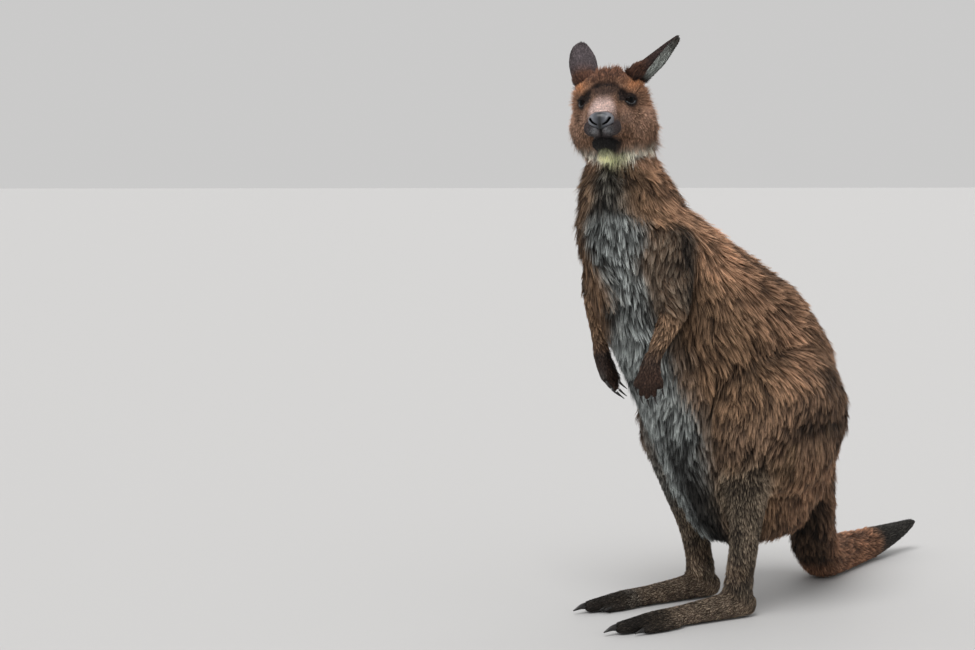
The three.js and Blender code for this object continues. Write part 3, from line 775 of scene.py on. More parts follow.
def side_line_gap(b, line_points):
    """How far each point of the body is from a line on both its flanks, seen from the side."""
    place = b[:, 1:] + np.where(b[:, :1] < 0, (-RIGHT_FOLDS_BACK, 0.0), (0.0, 0.0))
    gap = np.full(len(b), FAR)
    for start, end in zip(line_points[:-1], line_points[1:]):
        gap = np.minimum(gap, line_gap(place, start, end)[0])
    return gap + 40 * (1 - ramp(np.abs(b[:, 0]), 60, 90))


def shoulder_shade(b):
    """The painted shadow down the back of the upper arm: 1 on its middle."""
    height = ramp(b[:, 2], 545, 585) * (1 - ramp(b[:, 2], 690, 740))
    return np.exp(-((b[:, 1] + 142) / 16) ** 2) * height * ramp(np.abs(b[:, 0]), 60, 90)


def silver_bounds(b):
    """Where the silver begins on the right and ends on the left, in degrees round from the belly's middle."""
    heights = (250, 440, 500, 560, 620, 670, 715, 750, 785, 840, 900)
    begins = np.interp(b[:, 2], heights, (-46, -46, -34, 2, 12, 8, -2, 6, 20, 18, 6))
    heights = (250, 480, 560, 640, 712, 750, 785, 830, 900)
    return begins, np.interp(b[:, 2], heights, (44, 41, 42, 52, 68, 64, 60, 54, 50))


def markings(points, shares, names):
    """The coat's colours at each point: the hair's own, and its tips'. Later ones lie over earlier ones."""
    b = to_body(points)
    part = {name: shares[:, k] for k, name in enumerate(names)}
    x, y, z = b[:, 0], b[:, 1], b[:, 2]
    # patches of three sizes, so that no stretch of the coat has one flat colour
    broad = noise(b, 55.0, 11)
    fine = noise(b * np.array((1, 1, 0.35)), 16.0, 12)
    angle = belly_angle(b) + 7 * broad + 5 * fine
    begins, ends = silver_bounds(b)
    turned = np.where(x < 0, -1, 1) * belly_angle(b) + 6 * broad + 5 * fine
    silver = (1 - ramp(turned, ends - 13, ends + 13)) * ramp(turned, begins - 9, begins + 9)
    wide = noise(b, 95.0, 13)
    stain = np.exp(0.30 * broad + 0.24 * wide + 0.18 * fine)[:, None]
    back = mix(BACK_BROWN, FLANK_BROWN, 1 - ramp(angle, 70, 120)) * stain
    back_tip = mix(BACK_TIP, FLANK_TIP, 1 - ramp(angle, 70, 120)) * stain
    # the silver of the chest and belly, darker low down, partly its own colour and partly painted shade under
    # the belly, with painted shade in the throat's crease, and darker along its edge
    grey = mix(SILVER, SLATE, 0.9 * ramp(broad + 0.9 * fine, -0.30, 0.60))
    grey = mix(grey, SILVER_TIP, 0.25 * ramp(z, 330, 420) * (1 - ramp(z, 520, 600)))
    # painted shade under the belly, over its own darker colour there
    low_belly = (1 - ramp(z + 25 * broad, 245, 375)) * ramp(x, -10, 20)
    low_belly = np.maximum(low_belly, 0.85 * np.exp(-((x - 34) / 15) ** 2) * (1 - ramp(z, 320, 430)))
    grey = mix(grey, SLATE * 0.6, low_belly)
    throat = ramp(z, 745, 790)
    grey = mix(grey, THROAT, 0.75 * throat)
    silver_tip = mix(SILVER_TIP, THROAT_TIP, 0.7 * throat)
    silver_tip = mix(silver_tip, SLATE * 1.1, low_belly)
    # painted shade in the throat's crease, where the neck meets the chest
    crease = np.exp(-((z - CREASE_HEIGHT - 22) / 17) ** 2) * (1 - ramp(angle, 46, 70))
    grey, silver_tip = mix(grey, SLATE * 0.5, crease), mix(silver_tip, SLATE, crease)
    edge = np.exp(-(np.minimum(ends - turned, turned - begins) / 12) ** 2)
    grey, silver_tip = mix(grey, SILVER_EDGE, 0.7 * edge), mix(silver_tip, SILVER_EDGE_TIP, 0.5 * edge)
    colour, tip = mix(back, grey, silver), mix(back_tip, silver_tip, silver)

    def dress(starts, own, own_tip, share=1.0):
        """Gives those bones' share of each point their own colours."""
        nonlocal colour, tip
        weight = sum(part[name] for name in names if name.startswith(starts)) * share
        colour, tip = mix(colour, own, weight), mix(tip, own_tip, weight)

    # the thighs, and painted shade in the folds, behind the upper arms and by the hands, over everything so
    # far
    light = ramp(noise(b, 30.0, 14) + 1.3 * np.exp(-((y - 62) / 40) ** 2 - ((z - 250) / 50) ** 2), 0.25, 0.9)
    dress("thigh", mix(THIGH_BROWN, OCHRE, 0.5 * light) * stain, THIGH_TIP * stain)
    # painted shade in the haunch's and the rump's folds
    painted_shade = 1 - 0.72 * np.exp(-(side_line_gap(b - (0, 0, 7), HAUNCH_FOLD) / 13) ** 2)
    painted_shade = painted_shade * (1 - 0.72 * np.exp(-(side_line_gap(b - (0, 0, 9), RUMP_FOLD) / 11) ** 2))
    # the painted shadow behind the upper arm
    painted_shade = painted_shade * (1 - 0.75 * shoulder_shade(b))
    # painted shade on the coat near the forearms and hands
    painted_shade = painted_shade * (1 - 0.45 * (1 - ramp(hand_gap(b), 38, 80)))
    # painted shade beyond the silver on the right, down the front of the neck's side and under the haunch,
    # and a lighter upper flank
    beyond = ramp(-x, -30, 10) * (1 - ramp(angle, 50, 90)) * (1 - silver) * ramp(z, 480, 540)
    painted_shade = painted_shade * (1 - 0.45 * beyond)
    painted_shade = painted_shade * (1 - 0.25 * ramp(x, 20, 50) * ramp(z, 745, 775) * (1 - ramp(angle, 65, 85)) * (1 - silver))
    flank = ramp(angle, 75, 95) * (1 - ramp(angle, 118, 145))
    painted_shade = painted_shade * (1 + 0.55 * ramp(z, 620, 680) * (1 - ramp(z, 800, 850)) * flank * (1 - silver))
    painted_shade = painted_shade * (1 - 0.35 * (1 - ramp(z, 165, 265)) * ramp(y, 10, 90))
    colour, tip = colour * painted_shade[:, None], tip * painted_shade[:, None]
    # the legs, lighter and darker hair by hair, down to the dark toes
    inner_leg = ramp(np.where(x < 0, 140, 100) - np.abs(x), 0, 40) * ramp(-y, -60, 20)
    dress("thigh", grey, SILVER_TIP, 0.85 * inner_leg)
    streak = noise(b * np.array((1, 1, 0.22)), 9.0, 15)
    ticked = np.exp(0.45 * fine + 0.25 * broad + 0.85 * streak)[:, None]
    dress("shin", TICKED * 0.9 * ticked, TICKED_TIP * ticked ** 0.7)
    dress("shin_right", SILVER, SILVER_TIP, 0.7 * ramp(z, 150, 240) * ramp(-y, -60, 0))
    dress("heel", TICKED * 1.1 * ticked, TICKED_TIP * ticked ** 0.7)
    toward = ramp(-(y - np.where(x < 0, RIGHT_FOOT_BACK, 0)), 180, 232)
    dress("foot", mix(TICKED * 3.0 * ticked ** 0.5, SOOT, toward), mix(TICKED_TIP * 1.8, SOOT_TIP, toward))
    dress("toes", mix(TICKED * 0.6, SOOT, toward), mix(TICKED_TIP * 0.6, SOOT_TIP, toward))
    # the arms, with the painted shadow down the back of the upper arm
    shaded = 1 - 0.8 * shoulder_shade(b)[:, None]
    arm = mix(mix(ARM_BROWN, ARM_DARK, 0.7 + 0.3 * fine), FLANK_BROWN, 0.8 * ramp(z, 640, 700))
    dress("upper_arm", arm * shaded, ARM_DARK_TIP * shaded)
    wrist = 1 - ramp(z, 470, 530)
    dress("forearm", mix(ARM_BROWN, HAND_BROWN, wrist), mix(ARM_TIP, HAND_TIP, wrist))
    dress("hand", HAND_BROWN, HAND_TIP)
    # the tail, whose root is darkest on its front, as painted shade
    front = ramp(np.interp(z, (50, 120, 300), (338, 277, 205)) - y, -25, 30) * ramp(z, 20, 70)
    shade, shade_tip = TAIL_SHADE * 0.5, TAIL_SHADE_TIP * 0.4
    dress("tail_root", mix(BACK_BROWN * 0.7, shade, front), mix(BACK_TIP * 0.7, shade_tip, front))
    dress("tail_bend", mix(TAIL_BROWN * 0.7, shade, front), mix(TAIL_TIP * 0.8, shade_tip, front))
    dress("tail_middle", TAIL_BROWN, TAIL_TIP)
    dress("tail_tip", TAIL_END, TAIL_END_TIP)
    h = to_head(points)
    head_colour, head_tip = head_markings(h)
    own = ramp(h[:, 2], *HEAD_COLOURS)
    return mix(colour, head_colour, own), mix(tip, head_tip, own)


# ---------------------------------------------------------------- tufts of hair

ROWS = (0.0, 0.35, 1.0)  # how far along a tuft its rows of points are; the last is a single point
ROW_WIDTHS = (0.9, 1.0)  # how wide the other rows are
# The rows' strengths are painted shade: dark deep in the coat, where the tufts shade each other, and
# brightest at the tip.
ROOT_SHADE, MIDDLE_SHADE, TIP_SHADE = 0.12, 0.56, 1.18  # how bright the rows are: dark deep in the coat
TUFT_POINTS, TUFT_TRIANGLES = 2 * len(ROWS) - 1, 2 * len(ROWS) - 3
BAKE_PATCH = 0.003  # how much of its map a tuft takes up
SHORT_HAIR = 17 * MM  # shorter hair gathers in locks of half the size
PATCH_LOCKS, SWIRL_LOCKS = 3.5, 7  # how many locks wide a patch of like hair and a swirl of the lie are
ROOT_DEPTH = 0.3 * MM  # how far under the skin a tuft starts
LIE_SPREAD, STAND_SPREAD, ROLL_SPREAD = 0.07, 0.16, 0.45  # how much tufts vary in lie, stand and roll
SHADE_SPREAD, LIGHTEST = 0.28, 0.75  # and in shade, up to the lightest one
GATHER_POWER, RISE_POWER = 1.6, 1.8  # how late along a tuft it bends to its lock, and how early it rises


def new_object(name, mesh, material):
    """An object at the origin, in the scene."""
    piece = bpy.data.objects.new(name, mesh)
    bpy.context.scene.collection.objects.link(piece)
    if material:
        mesh.materials.append(material)
    return piece


def coat_mesh(name, path, across, width, colours, unwrap):
    """Tufts as one mesh: flat blades that follow their paths and end in a point."""
    count, steps, per = len(path), len(ROWS), TUFT_POINTS
    points = np.empty((count, per, 3))
    for k, row_width in enumerate(ROW_WIDTHS):
        half = across * (width * row_width / 2)[:, None]
        points[:, 2 * k] = path[:, k] - half
        points[:, 2 * k + 1] = path[:, k] + half
    points[:, -1] = path[:, -1]
    faces = []
    for k in range(steps - 2):
        faces += [2 * k, 2 * k + 1, 2 * k + 3, 2 * k, 2 * k + 3, 2 * k + 2]
    faces += [per - 3, per - 2, per - 1]
    corners = (np.arange(count)[:, None] * per + np.array(faces)).ravel()
    mesh = bpy.data.meshes.new(name)
    mesh.vertices.add(count * per)
    mesh.vertices.foreach_set("co", in_box(points).ravel().astype(np.float32))
    mesh.loops.add(len(corners))
    mesh.loops.foreach_set("vertex_index", corners.astype(np.int32))
    total = len(corners) // 3
    mesh.polygons.add(total)
    mesh.polygons.foreach_set("loop_start", np.arange(total, dtype=np.int32) * 3)
    mesh.polygons.foreach_set("use_smooth", np.ones(total, bool))
    mesh.update(calc_edges=True)
    shade = np.ones((count, per, 4), np.float32)
    for k in range(steps):
        shade[:, 2 * k:2 * k + 2, :3] = colours[k][:, None]
    mesh.attributes.new("Coat", "FLOAT_COLOR", "POINT").data.foreach_set("color", shade.ravel())
    bake = np.empty((count, per, 2), np.float32)
    for k in range(per):
        bake[:, k, 0] = unwrap[:, 0] + (k % 2 - 0.5) * BAKE_PATCH * (k < per - 1)
        bake[:, k, 1] = unwrap[:, 1] + (ROWS[k // 2] - 0.5) * BAKE_PATCH
    layer = mesh.uv_layers.new(name="OFBake")
    layer.data.foreach_set("uv", bake.reshape(-1, 2)[corners].ravel())
    return mesh


class Coat:
    """What a surface's points say about the hair that grows on them."""

    def __init__(self, points, triangles, normals, **values):
        self.points, self.triangles, self.normals, self.values = points, triangles, normals, values

    def roots(self, density, chance):
        """Random places on the triangles, so many on a square metre: their triangles and weights."""
        a, b, c = (self.points[self.triangles[:, k]] for k in range(3))
        area = np.linalg.norm(np.cross(b - a, c - a), axis=1) / 2
        share = np.cumsum(area * density[self.triangles].mean(1))
        count = int(share[-1])
        picked = np.searchsorted(share, (np.arange(count) + chance.random(count)) / count * share[-1])
        picked = np.minimum(picked, len(area) - 1)
        u, v = chance.random(count), chance.random(count)
        over = u + v > 1
        u, v = np.where(over, 1 - u, u), np.where(over, 1 - v, v)
        return self.triangles[picked], np.stack([1 - u - v, u, v], 1)

    def read(self, values, corners, weights):
        """The points' numbers at places on the triangles."""
        if values.ndim == 1:
            return (values[corners] * weights).sum(1)
        return (values[corners] * weights[:, :, None]).sum(1)


def grow(coat, seed, lock, follow=None):
    """Every tuft of a coat, gathered in locks of about that size: arrays with a row for each tuft."""
    chance = np.random.default_rng(seed)
    corners, weights = coat.roots(coat.values["density"], chance)

    def get(key):
        return coat.read(coat.values[key], corners, weights)

    root = coat.read(coat.points, corners, weights)
    normal = unit(coat.read(coat.normals, corners, weights))
    lie, length, height, width = get("lie"), get("length"), get("height"), get("width")
    colour, tip = get("colour"), get("tip")
    count = len(root)
    # locks: tufts lean together towards the middle of their lock, and each lock has its own shade and turn
    shaken = root + 5 * MM * noise(root, 9 * MM, seed + 3)[:, None]
    _, patch = nearest_cell(shaken, PATCH_LOCKS * lock, seed + 4)
    bold = get("bold")
    swirl = (noise(root, SWIRL_LOCKS * lock, seed + 2) * 0.45 + (patch - 0.5) * 0.5)[:, None] * bold[:, None]
    across = np.cross(normal, lie)
    lie = unit(lie + across * (swirl + chance.normal(0, LIE_SPREAD, count)[:, None]))
    length = length * (0.62 + 0.50 * chance.random(count))
    tip_place = root + lie * (0.85 * length)[:, None]
    centre, mark = nearest_cell(tip_place, lock, seed + 1)
    short = get("length") < SHORT_HAIR
    if short.any():
        centre[short], mark[short] = nearest_cell(tip_place[short], lock / 2, seed + 6)
    inward = centre - tip_place
    inward -= normal * (inward * normal).sum(1, keepdims=True)
    length = length * (0.85 + 0.3 * mark * bold + 0.6 * get("ruffle") * (mark - 0.4))
    lift = 0.42 + 0.50 * chance.random(count) + (0.60 * (mark - 0.4) + 0.3 * (patch - 0.5)) * bold
    lift = np.clip(lift, 0.1, 1.3)
    free = get("free") * (0.75 + 0.25 * chance.random(count))
    stand = unit(unit(get("stand")) + chance.normal(0, STAND_SPREAD, (count, 3)))
    lift = lift * (1 + get("ruffle") * (chance.random(count) - 0.3))
    # each tuft rises from the skin, follows its form below it and bends to its lock, or stands free of it
    path = np.empty((count, len(ROWS), 3))
    for k, t in enumerate(ROWS):
        rise = height * lift * (1 - (1 - t) ** RISE_POWER) if t else -ROOT_DEPTH
        way = root + lie * (length * t)[:, None] + inward * t ** GATHER_POWER * get("gather")[:, None]
        if follow is not None and t:
            off = follow.sample(way) - rise
            laid = way - follow.slope(way) * off[:, None]
            loose = root + stand * (length * t)[:, None] + inward * (0.5 * t ** GATHER_POWER)
            path[:, k] = mix(laid, loose, free)
        else:
            path[:, k] = way + normal * np.asarray(rise).reshape(-1, 1)
    # its flat side faces outwards, more or less, and its colour goes from the hair's own to its tip's
    ahead = unit(path[:, -1] - path[:, 0])
    side = unit(np.cross(ahead, normal))
    roll = chance.normal(0, ROLL_SPREAD, count)[:, None]
    side = side * np.cos(roll) + np.cross(ahead, side) * np.sin(roll)
    shade = SHADE_SPREAD * chance.normal(0, 1, count) + bold * (1.5 * (mark - 0.5) + 1.1 * (patch - 0.5))
    shade = np.exp(np.minimum(shade, LIGHTEST))[:, None]
    own = colour * shade
    end = mix(own, tip * shade, np.clip(0.2 + 0.8 * chance.random(count) ** 2 + 0.6 * (mark - 0.5), 0, 1))
    return {
        "root": root, "path": path, "across": side, "own": own, "end": end,
        "width": width * (0.75 + 0.5 * chance.random(count)), "corners": corners,
    }


# ---------------------------------------------------------------- floor, light and camera

CAMERA_PLACE = (2.7297, -2.2378, 0.79)
CAMERA_AZIMUTH = math.radians(60)
SENSOR_WIDTH = 36
LENS = 66.46
HORIZON_SHIFT = -0.1436
LAMPS = (  # name, where it shines from, how strong, how many degrees of the sky it fills
    ("overhead light", (0.35, -0.45, 1.0), 1.9, 30),
    ("side light", (-0.6, 0.8, 0.7), 0.5, 60),
)
SKY_COLOUR, SKY_STRENGTH = (0.90, 0.895, 0.89, 1), 0.66
FLOOR_COLOUR, FLOOR_REACH = (0.54, 0.535, 0.53, 1), 400


def light_and_camera():
    """A pale sky, two soft lamps and the camera."""
    scene = bpy.context.scene
    camera = bpy.data.cameras.new("camera")
    camera.sensor_width, camera.lens, camera.shift_y = SENSOR_WIDTH, LENS, HORIZON_SHIFT
    holder = bpy.data.objects.new("camera", camera)
    holder.location = CAMERA_PLACE
    holder.rotation_euler = (math.pi / 2, 0, CAMERA_AZIMUTH)
    scene.collection.objects.link(holder)
    scene.camera = holder
    world = bpy.data.worlds.new("studio")
    scene.world = world
    world.use_nodes = True
    sky = world.node_tree.nodes["Background"].inputs
    sky["Color"].default_value, sky["Strength"].default_value = SKY_COLOUR, SKY_STRENGTH
    scene.view_settings.view_transform = "Standard"
    for name, source, strength, spread in LAMPS:
        lamp = bpy.data.lights.new(name, "SUN")
        lamp.energy, lamp.angle = strength, math.radians(spread)
        holder = bpy.data.objects.new(name, lamp)
        holder.rotation_euler = Vector(source).to_track_quat("Z", "Y").to_euler()
        scene.collection.objects.link(holder)


def make_floor():
    """A pale floor that reaches to the horizon."""
    mesh = bpy.data.meshes.new("floor")
    corners = [(x * FLOOR_REACH, y * FLOOR_REACH, 0) for x, y in ((-1, -1), (1, -1), (1, 1), (-1, 1))]
    mesh.from_pydata(corners, [], [(0, 1, 2, 3)])
    material = bpy.data.materials.new("floor")
    material.use_nodes = True
    shader = material.node_tree.nodes["Principled BSDF"].inputs
    shader["Base Color"].default_value, shader["Roughness"].default_value = FLOOR_COLOUR, 0.85
    floor = new_object("floor", mesh, material)


# ---------------------------------------------------------------- materials


def new_material(name, roughness, specular=0.5, colour=(0.5, 0.5, 0.5)):
    """A material, its tree and its shader."""
    material = bpy.data.materials.new(name)
    material.use_nodes = True
    shader = material.node_tree.nodes["Principled BSDF"]
    shader.inputs["Base Color"].default_value = (*colour, 1)
    shader.inputs["Roughness"].default_value = roughness
    shader.inputs["Specular IOR Level"].default_value = specular
    return material, material.node_tree, shader


def add(tree, kind, **inputs):
    """A node, with its inputs set to numbers or linked from other nodes' sockets."""
    node = tree.nodes.new(kind)
    for key, value in inputs.items():
        socket = node.inputs[key.replace("_", " ")] if isinstance(key, str) else node.inputs[key]
        if isinstance(value, bpy.types.NodeSocket):
            tree.links.new(value, socket)
        else:
            socket.default_value = value
    return node


def marked_colour(tree, size, spread):
    """The colour painted on the piece, made lighter and darker by fine noise."""
    paint = tree.nodes.new("ShaderNodeAttribute")
    paint.attribute_name = "Coat"
    place = tree.nodes.new("ShaderNodeTexCoord")
    speck = add(tree, "ShaderNodeTexNoise", Vector=place.outputs["Object"], Scale=1 / size, Detail=3.0)
    span = add(tree, "ShaderNodeMapRange", Value=speck.outputs["Fac"])
    span.inputs["From Min"].default_value, span.inputs["From Max"].default_value = 0.25, 0.75
    span.inputs["To Min"].default_value, span.inputs["To Max"].default_value = 1 - spread, 1 + spread
    blend = tree.nodes.new("ShaderNodeMix")
    blend.data_type, blend.blend_type = "RGBA", "MULTIPLY"
    blend.inputs[0].default_value = 1.0
    tree.links.new(paint.outputs["Color"], blend.inputs[6])
    tree.links.new(span.outputs["Result"], blend.inputs[7])
    return place, blend.outputs[2]


def bumped(tree, shader, height, strength, distance):
    """Gives a shader the small bumps of a texture's height."""
    bump = add(tree, "ShaderNodeBump", Height=height, Strength=strength, Distance=distance)
    tree.links.new(bump.outputs["Normal"], shader.inputs["Normal"])


def hair_material():
    """Dull hair with a faint sheen, in the colours kept on the tufts."""
    material, tree, shader = new_material("coat hair", 0.66, 0.22)
    _, colour = marked_colour(tree, 6 * MM, 0.16)
    tree.links.new(colour, shader.inputs["Base Color"])
    shader.inputs["Sheen Weight"].default_value = 0.05
    shader.inputs["Sheen Roughness"].default_value = 0.45
    return material


def skin_material():
    """The downy skin under the coat, on the lids and on the lips."""
    material, tree, shader = new_material("skin", 0.75, 0.16)
    place, colour = marked_colour(tree, 1.6 * MM, 0.22)
    tree.links.new(colour, shader.inputs["Base Color"])
    grain = add(tree, "ShaderNodeTexNoise", Vector=place.outputs["Object"], Scale=1 / (0.9 * MM), Detail=4.0)
    bumped(tree, shader, grain.outputs["Fac"], 0.55, 0.5 * MM)
    return material


def nose_material():
    """Moist, pebbled leather."""
    material, tree, shader = new_material("nose leather", 0.38, 0.5)
    place, colour = marked_colour(tree, 2.5 * MM, 0.12)
    tree.links.new(colour, shader.inputs["Base Color"])
    pebble = add(tree, "ShaderNodeTexNoise", Vector=place.outputs["Object"], Scale=1 / (0.9 * MM), Detail=3.0)
    bumped(tree, shader, pebble.outputs["Fac"], 0.35, 0.3 * MM)
    return material


def claw_material():
    """Dark horn with paler streaks."""
    material, tree, shader = new_material("claw horn", 0.34, 0.5)
    place = tree.nodes.new("ShaderNodeTexCoord")
    grain = add(tree, "ShaderNodeTexNoise", Vector=place.outputs["Object"], Scale=1 / (3 * MM), Detail=5.0)
    tint = add(tree, "ShaderNodeValToRGB", Fac=grain.outputs["Fac"])
    dark, light = tint.color_ramp.elements
    dark.color, dark.position = (*CLAW_DARK, 1), 0.35
    light.color, light.position = (*CLAW_LIGHT, 1), 0.80
    tree.links.new(tint.outputs["Color"], shader.inputs["Base Color"])
    bumped(tree, shader, grain.outputs["Fac"], 0.4, 0.3 * MM)
    return material


def eye_material():
    """A wet, glossy eye."""
    material, tree, shader = new_material("eye", 0.05, 0.08)
    paint = tree.nodes.new("ShaderNodeAttribute")
    paint.attribute_name = "Coat"
    tree.links.new(paint.outputs["Color"], shader.inputs["Base Color"])
    return material


# ---------------------------------------------------------------- pieces


def finish_piece(piece):
    """Ties a piece to the part's one body."""
    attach(piece, "root")


def paint(mesh, colours):
    """Keeps a colour on each point of a mesh, where the materials read it."""
    rgba = np.ones((len(mesh.vertices), 4), np.float32)
    rgba[:, :3] = colours
    mesh.attributes.new("Coat", "FLOAT_COLOR", "POINT").data.foreach_set("color", rgba.ravel())


def mesh_arrays(mesh):
    """A mesh's points, triangles, normals and edges."""
    mesh.calc_loop_triangles()
    triangles = np.empty(len(mesh.loop_triangles) * 3, np.int32)
    mesh.loop_triangles.foreach_get("vertices", triangles)
    points = np.empty(len(mesh.vertices) * 3)
    mesh.vertices.foreach_get("co", points)
    normals = np.empty(len(mesh.vertices) * 3)
    mesh.vertex_normals.foreach_get("vector", normals)
    edges = np.empty(len(mesh.edges) * 2, np.int32)
    mesh.edges.foreach_get("vertices", edges)
    return points.reshape(-1, 3), triangles.reshape(-1, 3), normals.reshape(-1, 3), edges.reshape(-1, 2)


def from_lists(name, points, faces):
    """A smooth mesh of points and faces."""
    mesh = bpy.data.meshes.new(name)
    mesh.from_pydata(np.asarray(points).tolist(), [], [list(face) for face in faces])
    mesh.polygons.foreach_set("use_smooth", np.ones(len(mesh.polygons), bool))
    mesh.update()
    return mesh


def head_parts(h):
    """How much of each point of the head is crown, jaw, cheek, temple and beard, and which ones are lips."""
    x, y, z = np.abs(h[:, 0]), h[:, 1], h[:, 2]
    crown = ramp(z, 34, 58) * (1 - ramp(x, 40, 58))
    jaw = ramp(-z, 66, 84) * ramp(y, -84, -66)
    cheek = ramp(y, -10, 30) * (1 - ramp(z, 0, 30))
    temple = ramp(x, 36, 52) * ramp(z, -20, 0) * (1 - ramp(-y, 0, 16))
    beard = ramp(-z, 78, 83) * (1 - ramp(-z, 98, 106)) * (1 - ramp(y, 8, 22)) * (1 - ramp(x, 40, 52))
    lips = (np.abs(z + 64.5) < 3.0) & (-y > 45)
    return crown, jaw, cheek, temple, beard, lips


def head_hair(h, crown, jaw, cheek, temple, lips):
    """Length, width and density of the head's hair: long on crown, cheeks and jaw, none on nose and eyes."""
    y, z = h[:, 1], h[:, 2]
    along, up, out, off = eye_places(h)
    jowl = cheek * ramp(-z, 36, 60)
    length = 8.5 + 20 * crown + 15 * jaw + (11 * cheek + 8 * temple + 10 * jowl) * (1 - jaw) * (1 - crown)
    muzzle = ramp(-y, 26, 54) * (1 - ramp(-z, 78, 86))
    near_eye = 1 - ramp(off, EYE_RADIUS + 3, EYE_RADIUS + 14)
    length = mix(mix(length, 3.6, muzzle), 2.8, near_eye)
    width = 0.85 - 0.15 * muzzle - 0.15 * near_eye + 0.35 * np.maximum(crown, jaw)
    density = 85 + 45 * muzzle + 45 * near_eye - 20 * np.maximum(crown, cheek)
    lid_above, lid_below = lid_edges(along)
    open_eye = (off < EYE_RADIUS + 5) & (out > 0) & (up < lid_above + 1.6) & (-up < lid_below + 1.6)
    bare_nose = (nose_outline(h) < 1.0) & (y < -60)
    return length, width, np.where(open_eye | bare_nose | lips, 0, density)


def skin_coat(mesh, depth_field, depth):
    """Lie, length, height, density and colours of the hair at each point of the skin."""
    points, triangles, normals, edges = mesh_arrays(mesh)
    shares, _, _, names = bone_shares(points)
    kinds = [bone[5] for bone in bones()]
    table = np.array([HAIR[kind] for kind in kinds])
    h, b = to_head(points), to_body(points)
    own = ramp(h[:, 2], *HEAD_OWN)
    crown, jaw, cheek, temple, beard, lips = head_parts(h)
    on_head = head_hair(h, crown, jaw, cheek, temple, lips)
    length, width, density = (mix(shares @ table[:, k], on_head[k], own) for k in range(3))
    height = mix(depth_field.sample(points, depth) / MM, head_coat_depth(h), own)
    # a beard hangs from the jaw's edge, hair is short underneath and where the belly faces a hand
    length = mix(length, 27.0, beard)
    density = np.where(lips, density, mix(density, 80, beard))
    trunk = shares @ np.array([kind == "trunk" for kind in kinds], float)
    length = mix(length, 11, trunk * (1 - ramp(hand_gap(b), 34, 62)))
    under = ramp(-normals[:, 2], 0.0, 0.95) * ramp(-b[:, 2], -330, -260) * (1 - own)
    length = length * (1 - 0.45 * under)
    density = np.where(b[:, 2] < BARE_SOLE, 0, density)
    height = np.minimum(height, 0.75 * b[:, 2] + 0.3)
    # the coat's colours, darker beside the hands' claws
    colour, tip = markings(points, shares, names)
    by_claw = 1 - 0.65 * np.exp(-(claw_gap(points) / 7) ** 2)[:, None]
    colour, tip = colour * by_claw, tip * by_claw
    # how the hair ruffles, gathers in locks, and stands free of the skin
    lie = relaxed(coat_lie(points, normals, shares), edges, normals, 6)
    ruffle = 0.15 + (0.9 * crown + 0.6 * jaw + 0.8 * cheek) * own
    gather = mix(np.full(len(points), 0.75), 0.3 + 0.45 * crown, own)
    fringe = np.maximum(crown, jaw)
    bold = mix(0.35 + 0.65 * ramp(length, 8, 24), 0.25 + 0.6 * fringe, own)
    free = own * np.maximum(np.maximum(0.95 * jaw, 0.95 * crown), 0.88 * np.maximum(cheek, temple))
    ruff = ramp(b[:, 2], 640, 780) * (1 - own)
    free = np.maximum.reduce([free, 0.50 * ruff, 0.95 * beard])
    stand = lie + (0.45 + 0.25 * ruff)[:, None] * normals
    stand = mix(stand, 0.62 * lie + 0.85 * normals, own * np.maximum(cheek, temple))
    stand = mix(stand, 0.35 * lie + 1.1 * normals, crown * own)
    forward = HEAD_AXES @ np.array((0.0, -0.28, 0.0))
    stand = mix(stand, DOWN + forward + 0.1 * normals, np.maximum(jaw * own, beard))
    return Coat(
        points, triangles, normals, lie=lie, length=length * MM, height=height * MM, width=width * MM,
        density=density * 1e4, colour=colour, tip=tip, ruffle=ruffle, gather=gather, bold=bold, free=free,
        stand=stand,
    )


def nearest_tree(places):
    """A tree that finds the nearest of those places."""
    tree = KDTree(len(places))
    for k, place in enumerate(places):
        tree.insert(place, k)
    tree.balance()
    return tree


def claw_gap(points):
    """How far each point is from the claws of the hands, in millimetres, where a hand is near."""
    claws = [name for name in sorted(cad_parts) if name.startswith("claw_finger")]
    tree = nearest_tree(np.vstack([node_surface(name)[0] for name in claws]))
    gap = np.full(len(points), FAR)
    for k in np.flatnonzero(hand_gap(to_body(points)) < 60):
        gap[k] = tree.find(points[k])[2] / MM
    return gap


def hand_gap(b):
    """How far each point of the body is from the nearer forearm's and hand's middle lines, in millimetres."""
    gap = np.full(len(b), FAR)
    for _, start, end, _, _, kind in bones():
        if kind in ("forearm", "hand"):
            gap = np.minimum(gap, line_gap(b, start, end)[0])
    return gap


def nose_outline(h):
    """Below 0 inside the outline of the nose pad, seen from the front, in millimetres."""
    x, z = np.abs(h[:, 0]), h[:, 2] + 36
    top = 22.5 * np.maximum(1 - (np.maximum(z, 0) / 16.5) ** 2.4, 0) ** 0.42
    low = 22.5 - 19.5 * ramp(-z, 3, 16.5)
    return np.maximum.reduce([x - np.where(z > 0, top, low), z - 16.5, -z - 16.5])


def nostril(h):
    """Distance to the nostril's slanted slit, seen from the front, in millimetres."""
    start, end = np.array((6.0, -43.0)), np.array((17.0, -33.0))
    flat = np.stack([np.abs(h[:, 0]), h[:, 2]], 1)
    _, t = line_gap(flat, start, end)
    bend = 1.6 * np.sin(math.pi * t)
    middle = start + t[:, None] * (end - start) + bend[:, None] * np.array((0.67, -0.74))
    return np.linalg.norm(flat - middle, axis=1) - (1.4 + 0.9 * t)


NOSE_LOW, NOSE_SIZE = np.array((-27.0, -104.0, -58.0)), (55, 45, 43)  # its box, with a grid of 1 mm


